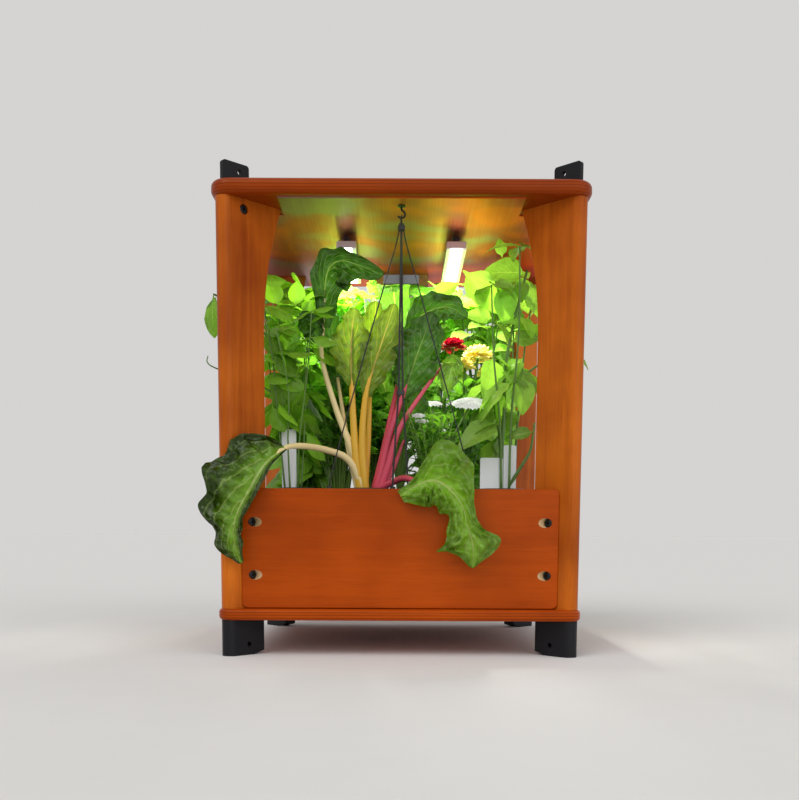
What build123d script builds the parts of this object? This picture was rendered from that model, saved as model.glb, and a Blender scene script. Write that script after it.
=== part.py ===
from build123d import *
import os
from math import cos, radians, sin, sqrt

# Boards
TOP_SIDE = 384.0
TOP_THICK = 15.5
TOP_CORNER = 20.0
TOP_EDGE = 6.0
BASE_SIDE = 380.0
BASE_THICK = 12.0
BASE_CORNER = 14.0
BASE_EDGE = 4.0

# Posts, planks that stand on the plan's diagonals
POST_LENGTH = 414.0
POST_THICK = 18.0
POST_WIDTH = 50.0
POST_FLARE = 24.0
FLARE_HEIGHT = 130.0
POST_OVERHANG = 5.0

# Aprons between the posts
APRON_HEIGHT = 124.5
APRON_THICK = 12.0
APRON_SETBACK = 7.5
APRON_LIFT = 0.5
APRON_CORNER = 5.0
APRON_EDGE = 1.0
APRON_BOLT_SPACING = 55.0
APRON_BOLT_IN = 18.0
SEAT_WOOD = 4.5

# Stacking brackets and feet
BRACKET_WIDTH = 32.0
BRACKET_START = -3.0
BRACKET_THICK = 5.0
BRACKET_RISE = 20.0
BRACKET_DEPTH = 20.0
BRACKET_CORNER = 3.0
STACK_HOLE = 5.2
STACK_HOLE_UP = 11.5
STACK_HOLE_IN = 17.5
FOOT_HEIGHT = 38.0
FOOT_LENGTH = 47.0
FOOT_WALL = 3.0
FOOT_ROOF = 8.0
FOOT_CORNER = 2.0
FOOT_TOE = 16.0
FOOT_TOE_RISE = 4.0

# Bolts, inserts, screws and dowels
BOLT = 5.0
BOLT_HEAD = 9.5
BOLT_HEAD_HIGH = 2.8
BOLT_CROWN = 1.6
BOLT_KEY = 3.0
BOLT_KEY_DEEP = 1.6
BOLT_ROOM = 0.25
INSERT_OUTER = 7.0
INSERT_LONG = 8.0
INSERT_SPARE = 0.5
BRACKET_BOLT_DOWN = 10.0
BRACKET_BOLT_SINK = 3.2
BRACKET_BOLT_LONG = 12.0
SCREW = 4.0
SCREW_HEAD = 8.0
SCREW_HEAD_HIGH = 2.2
SCREW_BITE = 10.0
SCREW_PLACES = (1.0, 21.5)
DOWEL = 8.0
DOWEL_BITE = 8.0
DOWEL_POST_BITE = 15.0
DOWEL_TOP_PLACES = (48.0,)
DOWEL_BASE_PLACES = (10.0, 33.0)

# Clearances
BORE_SLIP = 0.05
SLOT_SLIP = 0.3
PLUG_SLIP = 0.2

# Ceiling: reflector, light bars and driver
REFLECTOR_THICK = 1.2
REFLECTOR_MARGIN = 12.0
REFLECTOR_NOTCH = 124.5
LIGHT_LENGTH = 154.0
LIGHT_WIDTH = 22.0
LIGHT_HIGH = 7.4
LIGHT_WALL = 1.6
LIGHT_APART = 124.0
LIGHT_MIDDLE = 13.0
STANDOFF_HIGH = 9.0
STANDOFF = 8.0
STANDOFF_APART = 120.0
STRIP_WIDTH = 14.0
STRIP_THICK = 1.4
CHIP_SIDE = 5.0
CHIP_HIGH = 0.8
CHIP_COUNT = 10
CHIP_STEP = 14.0
DIFFUSER_THICK = 1.6
DRIVER_LENGTH = 70.0
DRIVER_WIDTH = 50.0
DRIVER_HIGH = 18.0
DRIVER_WALL = 2.0
DRIVER_BACK = 170.0
DRIVER_PORT_UP = 11.0
BOARD_MARGIN = 4.0
BOARD_LIFT = 1.5
BOARD_THICK = 1.6
BOARD_BOSS = 4.0
BUTTON = 8.0
BUTTON_PROUD = 3.0
BUTTON_FLANGE = 10.0
BUTTON_FLANGE_THICK = 1.5
BUTTON_TRAVEL = 1.5
BUTTON_GAP = 0.1
PORT_APART = 36.0
SWITCH_WIDE = 9.0
SWITCH_HIGH = 9.0
SWITCH_LONG = 7.0
JACK = 11.0
JACK_RIM = 13.0
JACK_RIM_THICK = 1.0
JACK_LONG = 10.0
JACK_BORE = 5.5
JACK_BORE_DEEP = 9.0

# Hook, spreader and support cords
HOOK_IN = 35.0
HOOK_WIRE = 2.0
HOOK_RADIUS = 3.6
HOOK_DROP = 8.8
HOOK_SCREW = 9.0
HOOK_COLLAR = 8.0
HOOK_COLLAR_THICK = 1.0
SPREADER_LENGTH = 37.0
SPREADER_HIGH = 8.8
SPREADER_THICK = 4.0
SPREADER_DROP = 72.0
SPREADER_BEHIND = 5.0
SPREADER_SPAN = 32.0
SPREADER_EYE = 2.2
CORD = 2.0
SIDE_CORD = 1.4
CORD_BEND = 30.0
CORD_RISE = 9.0
CORD_HANG = 12.0
TIE_RISE = 100.0
TIE_LONG = 4.0
TIE_WALL = 1.0
TIE_SLIP = 0.2
STRAND_APART = 4.4
LEG_APART = 16.0
SIDE_APART = 150.0
BINDING_DROP = 10.0
SIDE_TAIL = 5.0
ANCHOR = 6.0
ANCHOR_HIGH = 3.0

# Water tub, deck, pots, plugs and labels
TUB_HEIGHT = 121.0
TUB_HALF = 164.5
TUB_CORNER_SUM = 294.0
TUB_WALL = 2.5
TUB_FLOOR = 3.0
DECK_THICK = 4.0
DECK_LAP = 2.0
POT_HOLE = 50.0
POT_TOP = 49.2
POT_BOTTOM = 38.0
POT_RIM = 56.0
POT_RIM_THICK = 3.0
POT_DEPTH = 50.0
POT_WALL = 1.6
POT_SLOTS = 6
POT_SLOT_WIDE = 3.0
POT_SLOT_HIGH = 26.0
POT_SLOT_UP = 8.0
PLUG_DOWN = 3.0
POT_STEP = 73.0
POT_ROW_STEP = 90.0
POT_FRONT = -105.0
LABEL_THICK = 1.2
LABEL_CORNER = 2.0

# Circulation pump
PUMP_WIDTH = 46.0
PUMP_DEPTH = 40.0
PUMP_HIGH = 36.0
PUMP_FRONT = 18.0
PUMP_CORNER = 5.0
CHAMBER = 26.0
AXLE = 3.0
AXLE_SHORT = 0.3
IMPELLER = 22.0
IMPELLER_HUB = 8.0
IMPELLER_LONG = 7.0
BLADE_COUNT = 6
BLADE_THICK = 1.6
RUN_GAP = 1.0
COVER = 34.0
COVER_THICK = 3.0
INLET_COUNT = 6
INLET_WIDE = 3.0
INLET_LONG = 6.0
INLET_RING = 8.0
SPIGOT = 10.0
SPIGOT_BORE = 7.0
SPIGOT_HIGH = 10.0
RISER_OUTER = 13.0
RISER_HIGH = 70.0

# Plants
LEAF_RIB = 1.4
LEAF_EDGE = 0.6
GOLDEN_TURN = 137.5
SKYWARD = (0, 0, 1)
FORWARD = (0, -1, 0)
STEM_FACING = (0.3, 1, 0.2)

# Levels and centres that follow
base_z = FOOT_HEIGHT
post_z = base_z + BASE_THICK
top_z = post_z + POST_LENGTH
roof_z = top_z + TOP_THICK
ceiling_z = top_z - REFLECTOR_THICK
apron_z = post_z + APRON_LIFT
tub_top = post_z + TUB_HEIGHT
deck_top = tub_top + DECK_THICK
plug_top = deck_top - PLUG_DOWN
nose = POST_THICK / 2
corner = TOP_SIDE / 2 - POST_OVERHANG - nose
CORNERS = {"front_left": 0, "front_right": 90, "back_right": 180, "back_left": 270}
SIDES = {"front": 0, "right": 90, "back": 180, "left": 270}
UP = (Align.CENTER, Align.CENTER, Align.MIN)
DOWN = (Align.CENTER, Align.CENTER, Align.MAX)

os.makedirs("parts", exist_ok=True)


def save(piece, name):
    """Label a finished piece and write it under its own name."""
    piece.label = name
    export_step(piece, f"parts/{name}.step")


def along(inward, height=0.0, sideways=0.0):
    """A point in the front left corner: inward on the diagonal, sideways across it."""
    x = -corner + (inward - sideways) / sqrt(2)
    y = -corner + (inward + sideways) / sqrt(2)
    return (x, y, height)


def plan_plane(height=0.0):
    """The plan of the front left corner, x inward on the diagonal."""
    return Plane(origin=along(0, height), x_dir=(1, 1, 0), z_dir=(0, 0, 1))


def plank_plane(forward=0.0):
    """The middle plane of the front left post moved forward, x inward and y the height."""
    return Plane(origin=along(0, 0, -forward), x_dir=(1, 1, 0), z_dir=(1, -1, 0))


def slab(start, length, width, low, high):
    """A bar laid along the front left diagonal between two levels."""
    with BuildPart() as bar:
        with BuildSketch(plan_plane(low)):
            with Locations((start + length / 2, 0)):
                Rectangle(length, width)
        extrude(amount=high - low)
    return bar.part


def upright(inward, radius, low, high):
    """A round bar on the front left diagonal between two levels."""
    with BuildPart() as bar:
        with BuildSketch(plan_plane(low)):
            with Locations((inward, 0)):
                Circle(radius)
        extrude(amount=high - low)
    return bar.part


def crosswise(inward, level, radius, near, far):
    """A round bar across the front left post, between two distances forward of its middle."""
    with BuildPart() as bar:
        with BuildSketch(plank_plane(near)):
            with Locations((inward, level)):
                Circle(radius)
        extrude(amount=far - near)
    return bar.part


def nosed(radius, end, low, high):
    """A bar with a round nose on the front left diagonal, between two levels."""
    with BuildPart() as bar:
        with BuildSketch(plan_plane(low)):
            Circle(radius)
            with Locations((end / 2, 0)):
                Rectangle(end, 2 * radius)
        extrude(amount=high - low)
    return bar.part


def placed(piece, places):
    """One piece repeated at several places or planes."""
    with BuildPart() as group:
        with Locations(*places):
            add(piece)
    return group.part


def turned(piece):
    """One piece and its three quarter-turn copies, as separate solids."""
    with BuildPart() as group:
        for turn in CORNERS.values():
            add(piece, rotation=(0, 0, turn))
    return group.part


def save_four(piece, stem, turns):
    """Write a piece and its quarter-turn copies as pieces of their own."""
    for name, turn in turns.items():
        with BuildPart() as copy:
            add(piece, rotation=(0, 0, turn))
        save(copy.part, f"{stem}_{name}")


def octagon(half, corner_sum):
    """Corners of a square whose own corners are cut where |x| + |y| reaches corner_sum."""
    cut = corner_sum - half
    right = [(half, -cut), (half, cut), (cut, half)]
    left = [(-cut, half), (-half, cut), (-half, -cut), (-cut, -half), (cut, -half)]
    return right + left


def bolt_solid(length):
    """A button head bolt, its seat at the origin and its head upwards."""
    with BuildPart() as bolt:
        Cylinder(BOLT_HEAD / 2, BOLT_HEAD_HIGH, align=UP)
        fillet(bolt.edges().sort_by(Axis.Z)[-1], BOLT_CROWN)
        Cylinder(BOLT / 2, length, align=DOWN)
        with BuildSketch(Plane.XY.offset(BOLT_HEAD_HIGH)):
            RegularPolygon(BOLT_KEY / 2, 6, major_radius=False)
        extrude(amount=-BOLT_KEY_DEEP, mode=Mode.SUBTRACT)
    return bolt.part


# Bolt places on the front apron, on axes square to the posts' faces
apron_middle = apron_z + APRON_HEIGHT / 2
bolt_levels = [apron_middle - APRON_BOLT_SPACING / 2, apron_middle + APRON_BOLT_SPACING / 2]


def apron_bolt_planes(out):
    """Planes square to the front apron's bolts, at a distance out of the posts' faces."""
    x, y, _ = along(APRON_BOLT_IN, 0, -nose - out)
    return [
        Plane(origin=(-side * x, y, level), x_dir=(0, 0, 1), z_dir=(-side, -1, 0))
        for level in bolt_levels
        for side in (-1, 1)
    ]


# Boards
bracket_end = BRACKET_START + BRACKET_WIDTH
slot_start = BRACKET_START - SLOT_SLIP
slot_length = BRACKET_WIDTH + 2 * SLOT_SLIP
slot_width = BRACKET_THICK + 2 * SLOT_SLIP
dowel_bore = DOWEL / 2 + BORE_SLIP
hook_y = HOOK_IN - TOP_SIDE / 2
bracket_slot = slab(slot_start, slot_length, slot_width, top_z, roof_z)

with BuildPart() as top_board:
    with BuildSketch(Plane.XY.offset(top_z)):
        RectangleRounded(TOP_SIDE, TOP_SIDE, TOP_CORNER)
    extrude(amount=TOP_THICK)
    fillet(top_board.faces().filter_by(Axis.Z).edges(), TOP_EDGE)
    add(turned(bracket_slot), mode=Mode.SUBTRACT)
    for inward in DOWEL_TOP_PLACES:
        add(turned(upright(inward, dowel_bore, top_z, top_z + DOWEL_BITE)), mode=Mode.SUBTRACT)
    with BuildSketch(Plane.XY.offset(top_z)):
        with Locations((0, hook_y)):
            Circle(HOOK_WIRE / 2 + BORE_SLIP)
    extrude(amount=HOOK_SCREW, mode=Mode.SUBTRACT)
save(top_board.part, "top_board")

with BuildPart() as base_board:
    with BuildSketch(Plane.XY.offset(base_z)):
        RectangleRounded(BASE_SIDE, BASE_SIDE, BASE_CORNER)
    extrude(amount=BASE_THICK)
    fillet(base_board.faces().filter_by(Axis.Z).edges(), BASE_EDGE)
    for inward in DOWEL_BASE_PLACES:
        add(turned(upright(inward, dowel_bore, post_z - DOWEL_BITE, post_z)), mode=Mode.SUBTRACT)
    for inward in SCREW_PLACES:
        screw_hole = upright(inward, SCREW / 2 + BORE_SLIP, base_z, base_z + SCREW_BITE)
        add(turned(screw_hole), mode=Mode.SUBTRACT)
save(base_board.part, "base_board")

# Posts
post_inner = POST_WIDTH - nose
flare_z = top_z - FLARE_HEIGHT
seat_level = top_z - BRACKET_BOLT_DOWN
seat_forward = nose - BRACKET_BOLT_SINK
head_room = BOLT_HEAD / 2 + BOLT_ROOM
shank_room = BOLT / 2 + BOLT_ROOM
mortise = slab(slot_start, slot_length, slot_width, top_z - BRACKET_DEPTH, top_z)
insert_bore = INSERT_OUTER / 2 + BORE_SLIP

with BuildPart() as post:
    with BuildSketch(plank_plane()):
        with BuildLine():
            Polyline((post_inner, flare_z), (post_inner, post_z), (0, post_z), (0, top_z))
            Line((0, top_z), (post_inner + POST_FLARE, top_z))
            TangentArc((post_inner, flare_z), (post_inner + POST_FLARE, top_z), tangent=(0, 1))
        make_face()
    extrude(amount=nose, both=True)
    add(upright(0, nose, post_z, top_z))
    add(mortise, mode=Mode.SUBTRACT)
    add(crosswise(STACK_HOLE_IN, seat_level, head_room, seat_forward, nose), mode=Mode.SUBTRACT)
    bolt_end = seat_forward - BRACKET_BOLT_LONG - BOLT_ROOM
    add(crosswise(STACK_HOLE_IN, seat_level, shank_room, bolt_end, seat_forward), mode=Mode.SUBTRACT)
    for inward in DOWEL_TOP_PLACES:
        add(upright(inward, dowel_bore, top_z - DOWEL_POST_BITE, top_z), mode=Mode.SUBTRACT)
    for inward in DOWEL_BASE_PLACES:
        add(upright(inward, dowel_bore, post_z, post_z + DOWEL_POST_BITE), mode=Mode.SUBTRACT)
    for level in bolt_levels:
        add(crosswise(APRON_BOLT_IN, level, insert_bore, nose - INSERT_LONG, nose), mode=Mode.SUBTRACT)
        add(crosswise(APRON_BOLT_IN, level, insert_bore, -nose, INSERT_LONG - nose), mode=Mode.SUBTRACT)
save_four(post.part, "post", CORNERS)

# Aprons
apron_face = corner + nose - APRON_SETBACK
apron_back = apron_face - APRON_THICK
face_step = POST_THICK / sqrt(2)
outer_half = apron_face - face_step
inner_half = apron_back - face_step

with BuildPart() as apron:
    with BuildSketch(Plane.XY.offset(apron_z)):
        front_edge = [(-outer_half, -apron_face), (outer_half, -apron_face)]
        back_edge = [(inner_half, -apron_back), (-inner_half, -apron_back)]
        Polygon(*front_edge, *back_edge, align=None)
    extrude(amount=APRON_HEIGHT)
    mitres = apron.faces().filter_by(lambda face: abs(face.normal_at().X) > 0.5)
    corners = mitres.edges().filter_by(lambda edge: abs(edge.tangent_at(0.5).Z) < 0.1)
    fillet(corners, APRON_CORNER)
    fillet(apron.faces().sort_by(Axis.Y)[0].edges().group_by(Axis.Z)[-1], APRON_EDGE)
    for plane in apron_bolt_planes(SEAT_WOOD):
        with BuildSketch(plane):
            Circle(head_room)
        extrude(amount=APRON_THICK * 2, mode=Mode.SUBTRACT)
        with BuildSketch(plane):
            Circle(shank_room)
        extrude(amount=-SEAT_WOOD, mode=Mode.SUBTRACT)
save_four(apron.part, "apron", SIDES)

# Brackets and feet
bracket_low = top_z - BRACKET_DEPTH
bracket_high = roof_z + BRACKET_RISE

with BuildPart() as bracket:
    with BuildSketch(plank_plane()) as outline:
        with Locations((BRACKET_START + BRACKET_WIDTH / 2, (bracket_low + bracket_high) / 2)):
            Rectangle(BRACKET_WIDTH, bracket_high - bracket_low)
        fillet(outline.vertices().group_by(Axis.Z)[-1], BRACKET_CORNER)
        with Locations((STACK_HOLE_IN, roof_z + STACK_HOLE_UP)):
            Circle(STACK_HOLE / 2, mode=Mode.SUBTRACT)
        with Locations((STACK_HOLE_IN, seat_level)):
            Circle(BOLT / 2 + BORE_SLIP, mode=Mode.SUBTRACT)
    extrude(amount=BRACKET_THICK / 2, both=True)
save_four(bracket.part, "bracket", CORNERS)

foot_end = FOOT_LENGTH - nose
foot_cavity = FOOT_HEIGHT - FOOT_ROOF

with BuildPart() as foot:
    add(nosed(nose, foot_end, 0, FOOT_HEIGHT))
    inner_edges = foot.edges().filter_by(Axis.Z).sort_by(Axis((0, 0, 0), (1, 1, 0)))[-2:]
    fillet(inner_edges, FOOT_CORNER)
    add(nosed(nose - FOOT_WALL, foot_end - FOOT_WALL, 0, foot_cavity), mode=Mode.SUBTRACT)
    add(crosswise(STACK_HOLE_IN, STACK_HOLE_UP, STACK_HOLE / 2, -nose, nose), mode=Mode.SUBTRACT)
    with BuildSketch(plank_plane()):
        Polygon((foot_end, 0), (foot_end, FOOT_TOE_RISE), (foot_end - FOOT_TOE, 0), align=None)
    extrude(amount=nose, both=True, mode=Mode.SUBTRACT)
    for inward in SCREW_PLACES:
        screw_room = upright(inward, SCREW / 2 + BORE_SLIP, foot_cavity, FOOT_HEIGHT)
        add(screw_room, mode=Mode.SUBTRACT)
save_four(foot.part, "foot", CORNERS)

# Fasteners, each kind a group
apron_bolt = bolt_solid(SEAT_WOOD + INSERT_LONG - INSERT_SPARE)
save(turned(placed(apron_bolt, apron_bolt_planes(SEAT_WOOD))), "apron_bolts")

with BuildPart() as insert:
    Cylinder(INSERT_OUTER / 2, INSERT_LONG, align=DOWN)
    Cylinder(BOLT / 2 + BORE_SLIP, INSERT_LONG, align=DOWN, mode=Mode.SUBTRACT)
save(turned(placed(insert.part, apron_bolt_planes(0))), "apron_inserts")

seat_x, seat_y, _ = along(STACK_HOLE_IN, 0, -seat_forward)
seat_plane = Plane(origin=(seat_x, seat_y, seat_level), x_dir=(0, 0, 1), z_dir=(1, -1, 0))
save(turned(placed(bolt_solid(BRACKET_BOLT_LONG), [seat_plane])), "bracket_bolts")

with BuildPart() as screw:
    Cylinder(SCREW_HEAD / 2, SCREW_HEAD_HIGH, align=DOWN)
    fillet(screw.edges().sort_by(Axis.Z)[0], SCREW_HEAD_HIGH / 2)
    Cylinder(SCREW / 2, FOOT_ROOF + SCREW_BITE, align=UP)
screw_seats = [along(inward, foot_cavity) for inward in SCREW_PLACES]
save(turned(placed(screw.part, screw_seats)), "foot_screws")

with BuildPart() as corner_dowels:
    for inward in DOWEL_TOP_PLACES:
        add(upright(inward, DOWEL / 2, top_z - DOWEL_POST_BITE, top_z + DOWEL_BITE))
    for inward in DOWEL_BASE_PLACES:
        add(upright(inward, DOWEL / 2, post_z - DOWEL_BITE, post_z + DOWEL_POST_BITE))
save(turned(corner_dowels.part), "dowels")

# Ceiling
with BuildPart() as reflector:
    reach = TOP_SIDE - 2 * REFLECTOR_MARGIN
    with BuildSketch(Plane.XY.offset(ceiling_z)):
        Rectangle(reach, 2 * REFLECTOR_NOTCH)
        Rectangle(2 * REFLECTOR_NOTCH, reach)
        with Locations((0, hook_y)):
            Circle(HOOK_WIRE / 2 + BORE_SLIP, mode=Mode.SUBTRACT)
    extrude(amount=REFLECTOR_THICK)
save(reflector.part, "reflector")

housing_top = ceiling_z - STANDOFF_HIGH
housing_low = housing_top - LIGHT_HIGH
strip_top = housing_top - LIGHT_WALL
chip_start = -CHIP_STEP * (CHIP_COUNT - 1) / 2
standoff_places = []

for name, side in (("left", -1), ("right", 1)):
    x = side * LIGHT_APART / 2
    with BuildPart() as housing:
        with Locations((x, LIGHT_MIDDLE, housing_top)):
            Box(LIGHT_WIDTH, LIGHT_LENGTH, LIGHT_HIGH, align=DOWN)
        with Locations((x, LIGHT_MIDDLE, strip_top)):
            pocket = (LIGHT_WIDTH - 2 * LIGHT_WALL, LIGHT_LENGTH - 2 * LIGHT_WALL)
            Box(*pocket, LIGHT_HIGH, align=DOWN, mode=Mode.SUBTRACT)
    save(housing.part, f"led_housing_{name}")
    with BuildPart() as strip:
        with Locations((x, LIGHT_MIDDLE, strip_top)):
            Box(STRIP_WIDTH, LIGHT_LENGTH - 4 * LIGHT_WALL, STRIP_THICK, align=DOWN)
        for index in range(CHIP_COUNT):
            with Locations((x, LIGHT_MIDDLE + chip_start + CHIP_STEP * index, strip_top - STRIP_THICK)):
                Box(CHIP_SIDE, CHIP_SIDE, CHIP_HIGH, align=DOWN)
    save(strip.part, f"led_strip_{name}")
    with BuildPart() as diffuser:
        with Locations((x, LIGHT_MIDDLE, housing_low)):
            Box(LIGHT_WIDTH, LIGHT_LENGTH, DIFFUSER_THICK, align=DOWN)
        fillet(diffuser.faces().sort_by(Axis.Z)[0].edges(), DIFFUSER_THICK / 2)
    save(diffuser.part, f"led_diffuser_{name}")
    for end in (-1, 1):
        standoff_places.append((x, LIGHT_MIDDLE + end * STANDOFF_APART / 2, housing_top))

with BuildPart() as standoff:
    Cylinder(STANDOFF / 2, STANDOFF_HIGH, align=UP)
save(placed(standoff.part, standoff_places), "led_standoffs")

# Driver box, its board, the button and the jack
driver_low = ceiling_z - DRIVER_HIGH
driver_middle = DRIVER_BACK - DRIVER_WIDTH / 2
driver_floor = driver_low + DRIVER_WALL
port_z = driver_low + DRIVER_PORT_UP
board_low = driver_floor + BOARD_LIFT
board_size = [side - 2 * DRIVER_WALL - 2 * BOARD_MARGIN for side in (DRIVER_LENGTH, DRIVER_WIDTH)]
button_x = -PORT_APART / 2
jack_x = PORT_APART / 2
wall_inner = DRIVER_BACK - DRIVER_WALL
back_wall = Plane(origin=(0, DRIVER_BACK, port_z), x_dir=(-1, 0, 0), z_dir=(0, 1, 0))

with BuildPart() as driver_box:
    with Locations((0, driver_middle, driver_low)):
        Box(DRIVER_LENGTH, DRIVER_WIDTH, DRIVER_HIGH, align=UP)
    with Locations((0, driver_middle, driver_floor)):
        inside = [side - 2 * DRIVER_WALL for side in (DRIVER_LENGTH, DRIVER_WIDTH)]
        Box(*inside, DRIVER_HIGH, align=UP, mode=Mode.SUBTRACT)
    with Locations((0, driver_middle, driver_floor)):
        with GridLocations(board_size[0] - BOARD_BOSS, board_size[1] - BOARD_BOSS, 2, 2):
            Cylinder(BOARD_BOSS / 2, BOARD_LIFT, align=UP)
    with BuildSketch(back_wall):
        with Locations((-button_x, 0)):
            Circle(BUTTON / 2 + SLOT_SLIP)
        with Locations((-jack_x, 0)):
            Circle(JACK / 2 + BORE_SLIP)
    extrude(amount=-DRIVER_WALL, mode=Mode.SUBTRACT)
save(driver_box.part, "driver_box")

flange_back = wall_inner - BUTTON_GAP
switch_back = flange_back - BUTTON_FLANGE_THICK - BUTTON_TRAVEL - BUTTON_GAP

with BuildPart() as driver_board:
    with Locations((0, driver_middle, board_low)):
        Box(*board_size, BOARD_THICK, align=UP)
    with Locations((button_x, switch_back - SWITCH_LONG / 2, board_low + BOARD_THICK)):
        Box(SWITCH_WIDE, SWITCH_LONG, SWITCH_HIGH, align=UP)
save(driver_board.part, "driver_board")

with BuildPart() as light_button:
    with BuildSketch(back_wall.offset(flange_back - DRIVER_BACK)):
        with Locations((-button_x, 0)):
            Circle(BUTTON_FLANGE / 2)
    extrude(amount=-BUTTON_FLANGE_THICK)
    with BuildSketch(back_wall.offset(flange_back - DRIVER_BACK)):
        with Locations((-button_x, 0)):
            Circle(BUTTON / 2)
    extrude(amount=DRIVER_WALL + BUTTON_GAP + BUTTON_PROUD)
    fillet(light_button.faces().sort_by(Axis.Y)[-1].edges(), 0.8)
save(light_button.part, "light_button")

with BuildPart() as power_jack:
    with BuildSketch(back_wall):
        with Locations((-jack_x, 0)):
            Circle(JACK_RIM / 2)
    extrude(amount=JACK_RIM_THICK)
    with BuildSketch(back_wall):
        with Locations((-jack_x, 0)):
            Circle(JACK / 2)
    extrude(amount=-JACK_LONG)
    with BuildSketch(back_wall.offset(JACK_RIM_THICK)):
        with Locations((-jack_x, 0)):
            Circle(JACK_BORE / 2)
    extrude(amount=-JACK_BORE_DEEP, mode=Mode.SUBTRACT)
save(power_jack.part, "power_jack")

# Hook and spreader
hook_z = ceiling_z - HOOK_DROP
neck_z = hook_z + sqrt(3) * HOOK_RADIUS
hook_plane = Plane(origin=(0, hook_y, 0), x_dir=(1, 0, 0), z_dir=(0, -1, 0))

with BuildPart() as ceiling_hook:
    with BuildLine(hook_plane) as hook_path:
        Line((0, top_z + HOOK_SCREW), (0, neck_z))
        CenterArc((HOOK_RADIUS, neck_z), HOOK_RADIUS, 180, 60)
        CenterArc((0, hook_z), HOOK_RADIUS, 60, -220)
    with BuildSketch(Plane.XY.offset(top_z + HOOK_SCREW)):
        with Locations((0, hook_y)):
            Circle(HOOK_WIRE / 2)
    sweep(path=hook_path.wire())
    with Locations((0, hook_y, ceiling_z)):
        Cylinder(HOOK_COLLAR / 2, HOOK_COLLAR_THICK, align=DOWN)
save(ceiling_hook.part, "ceiling_hook")

anchor_top = deck_top + ANCHOR_HIGH
drape_z = hook_z - HOOK_RADIUS
drape = HOOK_WIRE / 2 + CORD / 2 + BORE_SLIP
tie_z = deck_top + TIE_RISE
spread_z = ceiling_z - SPREADER_DROP
spread_y = hook_y + SPREADER_BEHIND
binding_z = drape_z - BINDING_DROP
tail_x = (CORD + SIDE_CORD) / 2 + TIE_SLIP / 2
tail_top = binding_z + SIDE_TAIL
tail_low = binding_z - SIDE_TAIL


def side_route(side):
    """The points of a side cord, from its binding under the hook down to its anchor."""
    x = side * SIDE_APART / 2
    return [
        (side * tail_x, hook_y, tail_top),
        (side * tail_x, hook_y, tail_low),
        (side * SPREADER_SPAN / 2, spread_y, spread_z),
        (x, hook_y, anchor_top + CORD_RISE),
        (x, hook_y, anchor_top),
    ]


def leg_route(side):
    """The points of one half of the centre cord, from its anchor up to the hook."""
    x = side * LEG_APART / 2
    return [
        (x, hook_y, anchor_top),
        (x, hook_y, anchor_top + CORD_RISE),
        (side * STRAND_APART / 2, hook_y, tie_z),
        (0, hook_y + side * drape, drape_z - CORD_HANG),
        (0, hook_y + side * drape, drape_z),
    ]


with BuildPart() as spreader_bar:
    with Locations((0, spread_y, spread_z)):
        Box(SPREADER_LENGTH, SPREADER_THICK, SPREADER_HIGH)
    fillet(spreader_bar.edges().filter_by(Axis.Y), 1.5)
    for side in (-1, 1):
        _, above, eye, below, _ = [Vector(*point) for point in side_route(side)]
        way = (above - eye).normalized() + (eye - below).normalized()
        with BuildSketch(Plane(origin=eye, z_dir=way)):
            Circle(SPREADER_EYE / 2)
        extrude(amount=SPREADER_HIGH, both=True, mode=Mode.SUBTRACT)
save(spreader_bar.part, "spreader_bar")

# Cords
with BuildPart() as centre_cord:
    with BuildLine() as centre_path:
        up_leg = leg_route(-1)
        down_leg = leg_route(1)
        FilletPolyline(*up_leg, radius=CORD_BEND)
        ThreePointArc(up_leg[-1], (0, hook_y, drape_z + drape), down_leg[-1])
        FilletPolyline(*reversed(down_leg), radius=CORD_BEND)
    with BuildSketch(Plane(origin=up_leg[0], z_dir=(0, 0, 1))):
        Circle(CORD / 2)
    sweep(path=centre_path.wire())
save(centre_cord.part, "centre_cord")
print("centre cord length", round(centre_path.wire().length, 1), "bends", CORD_BEND, drape)

for name, side in (("left", -1), ("right", 1)):
    with BuildPart() as side_cord:
        with BuildLine() as side_path:
            FilletPolyline(*side_route(side), radius=CORD_BEND)
        with BuildSketch(Plane(origin=side_route(side)[0], z_dir=(0, 0, -1))):
            Circle(SIDE_CORD / 2)
        sweep(path=side_path.wire())
    save(side_cord.part, f"side_cord_{name}")
    print("side cord length", name, round(side_path.wire().length, 1), "bends", CORD_BEND)


def tie_ring(level, half_x, half_y, radius):
    """A flat ring round a bundle of strands, its opening half_x by half_y with round corners."""
    with BuildPart() as ring:
        with BuildSketch(Plane.XY.offset(level - TIE_LONG / 2)):
            with Locations((0, hook_y)):
                RectangleRounded(2 * (half_x + TIE_WALL), 2 * (half_y + TIE_WALL), radius + TIE_WALL)
                RectangleRounded(2 * half_x, 2 * half_y, radius, mode=Mode.SUBTRACT)
        extrude(amount=TIE_LONG)
    return ring.part


with BuildPart() as cord_ties:
    strand_half = (STRAND_APART + CORD) / 2 + TIE_SLIP
    add(tie_ring(tie_z, strand_half, CORD / 2 + TIE_SLIP, CORD / 2))
    tail_half = tail_x + SIDE_CORD / 2 + TIE_SLIP / 2
    add(tie_ring(binding_z, tail_half, drape + CORD / 2 + TIE_SLIP / 2, SIDE_CORD / 2))
save(cord_ties.part, "cord_ties")

with BuildPart() as cord_anchor:
    Cylinder(ANCHOR / 2, ANCHOR_HIGH, align=UP)
anchor_x = [-SIDE_APART / 2, -LEG_APART / 2, LEG_APART / 2, SIDE_APART / 2]
save(placed(cord_anchor.part, [(x, hook_y, deck_top) for x in anchor_x]), "cord_anchors")

# Water tub, deck, pots and plugs
pot_places = []
for row, count in enumerate((4, 3, 4)):
    for index in range(count):
        pot_x = (index - (count - 1) / 2) * POT_STEP
        pot_places.append((pot_x, POT_FRONT + row * POT_ROW_STEP, 0))

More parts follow.
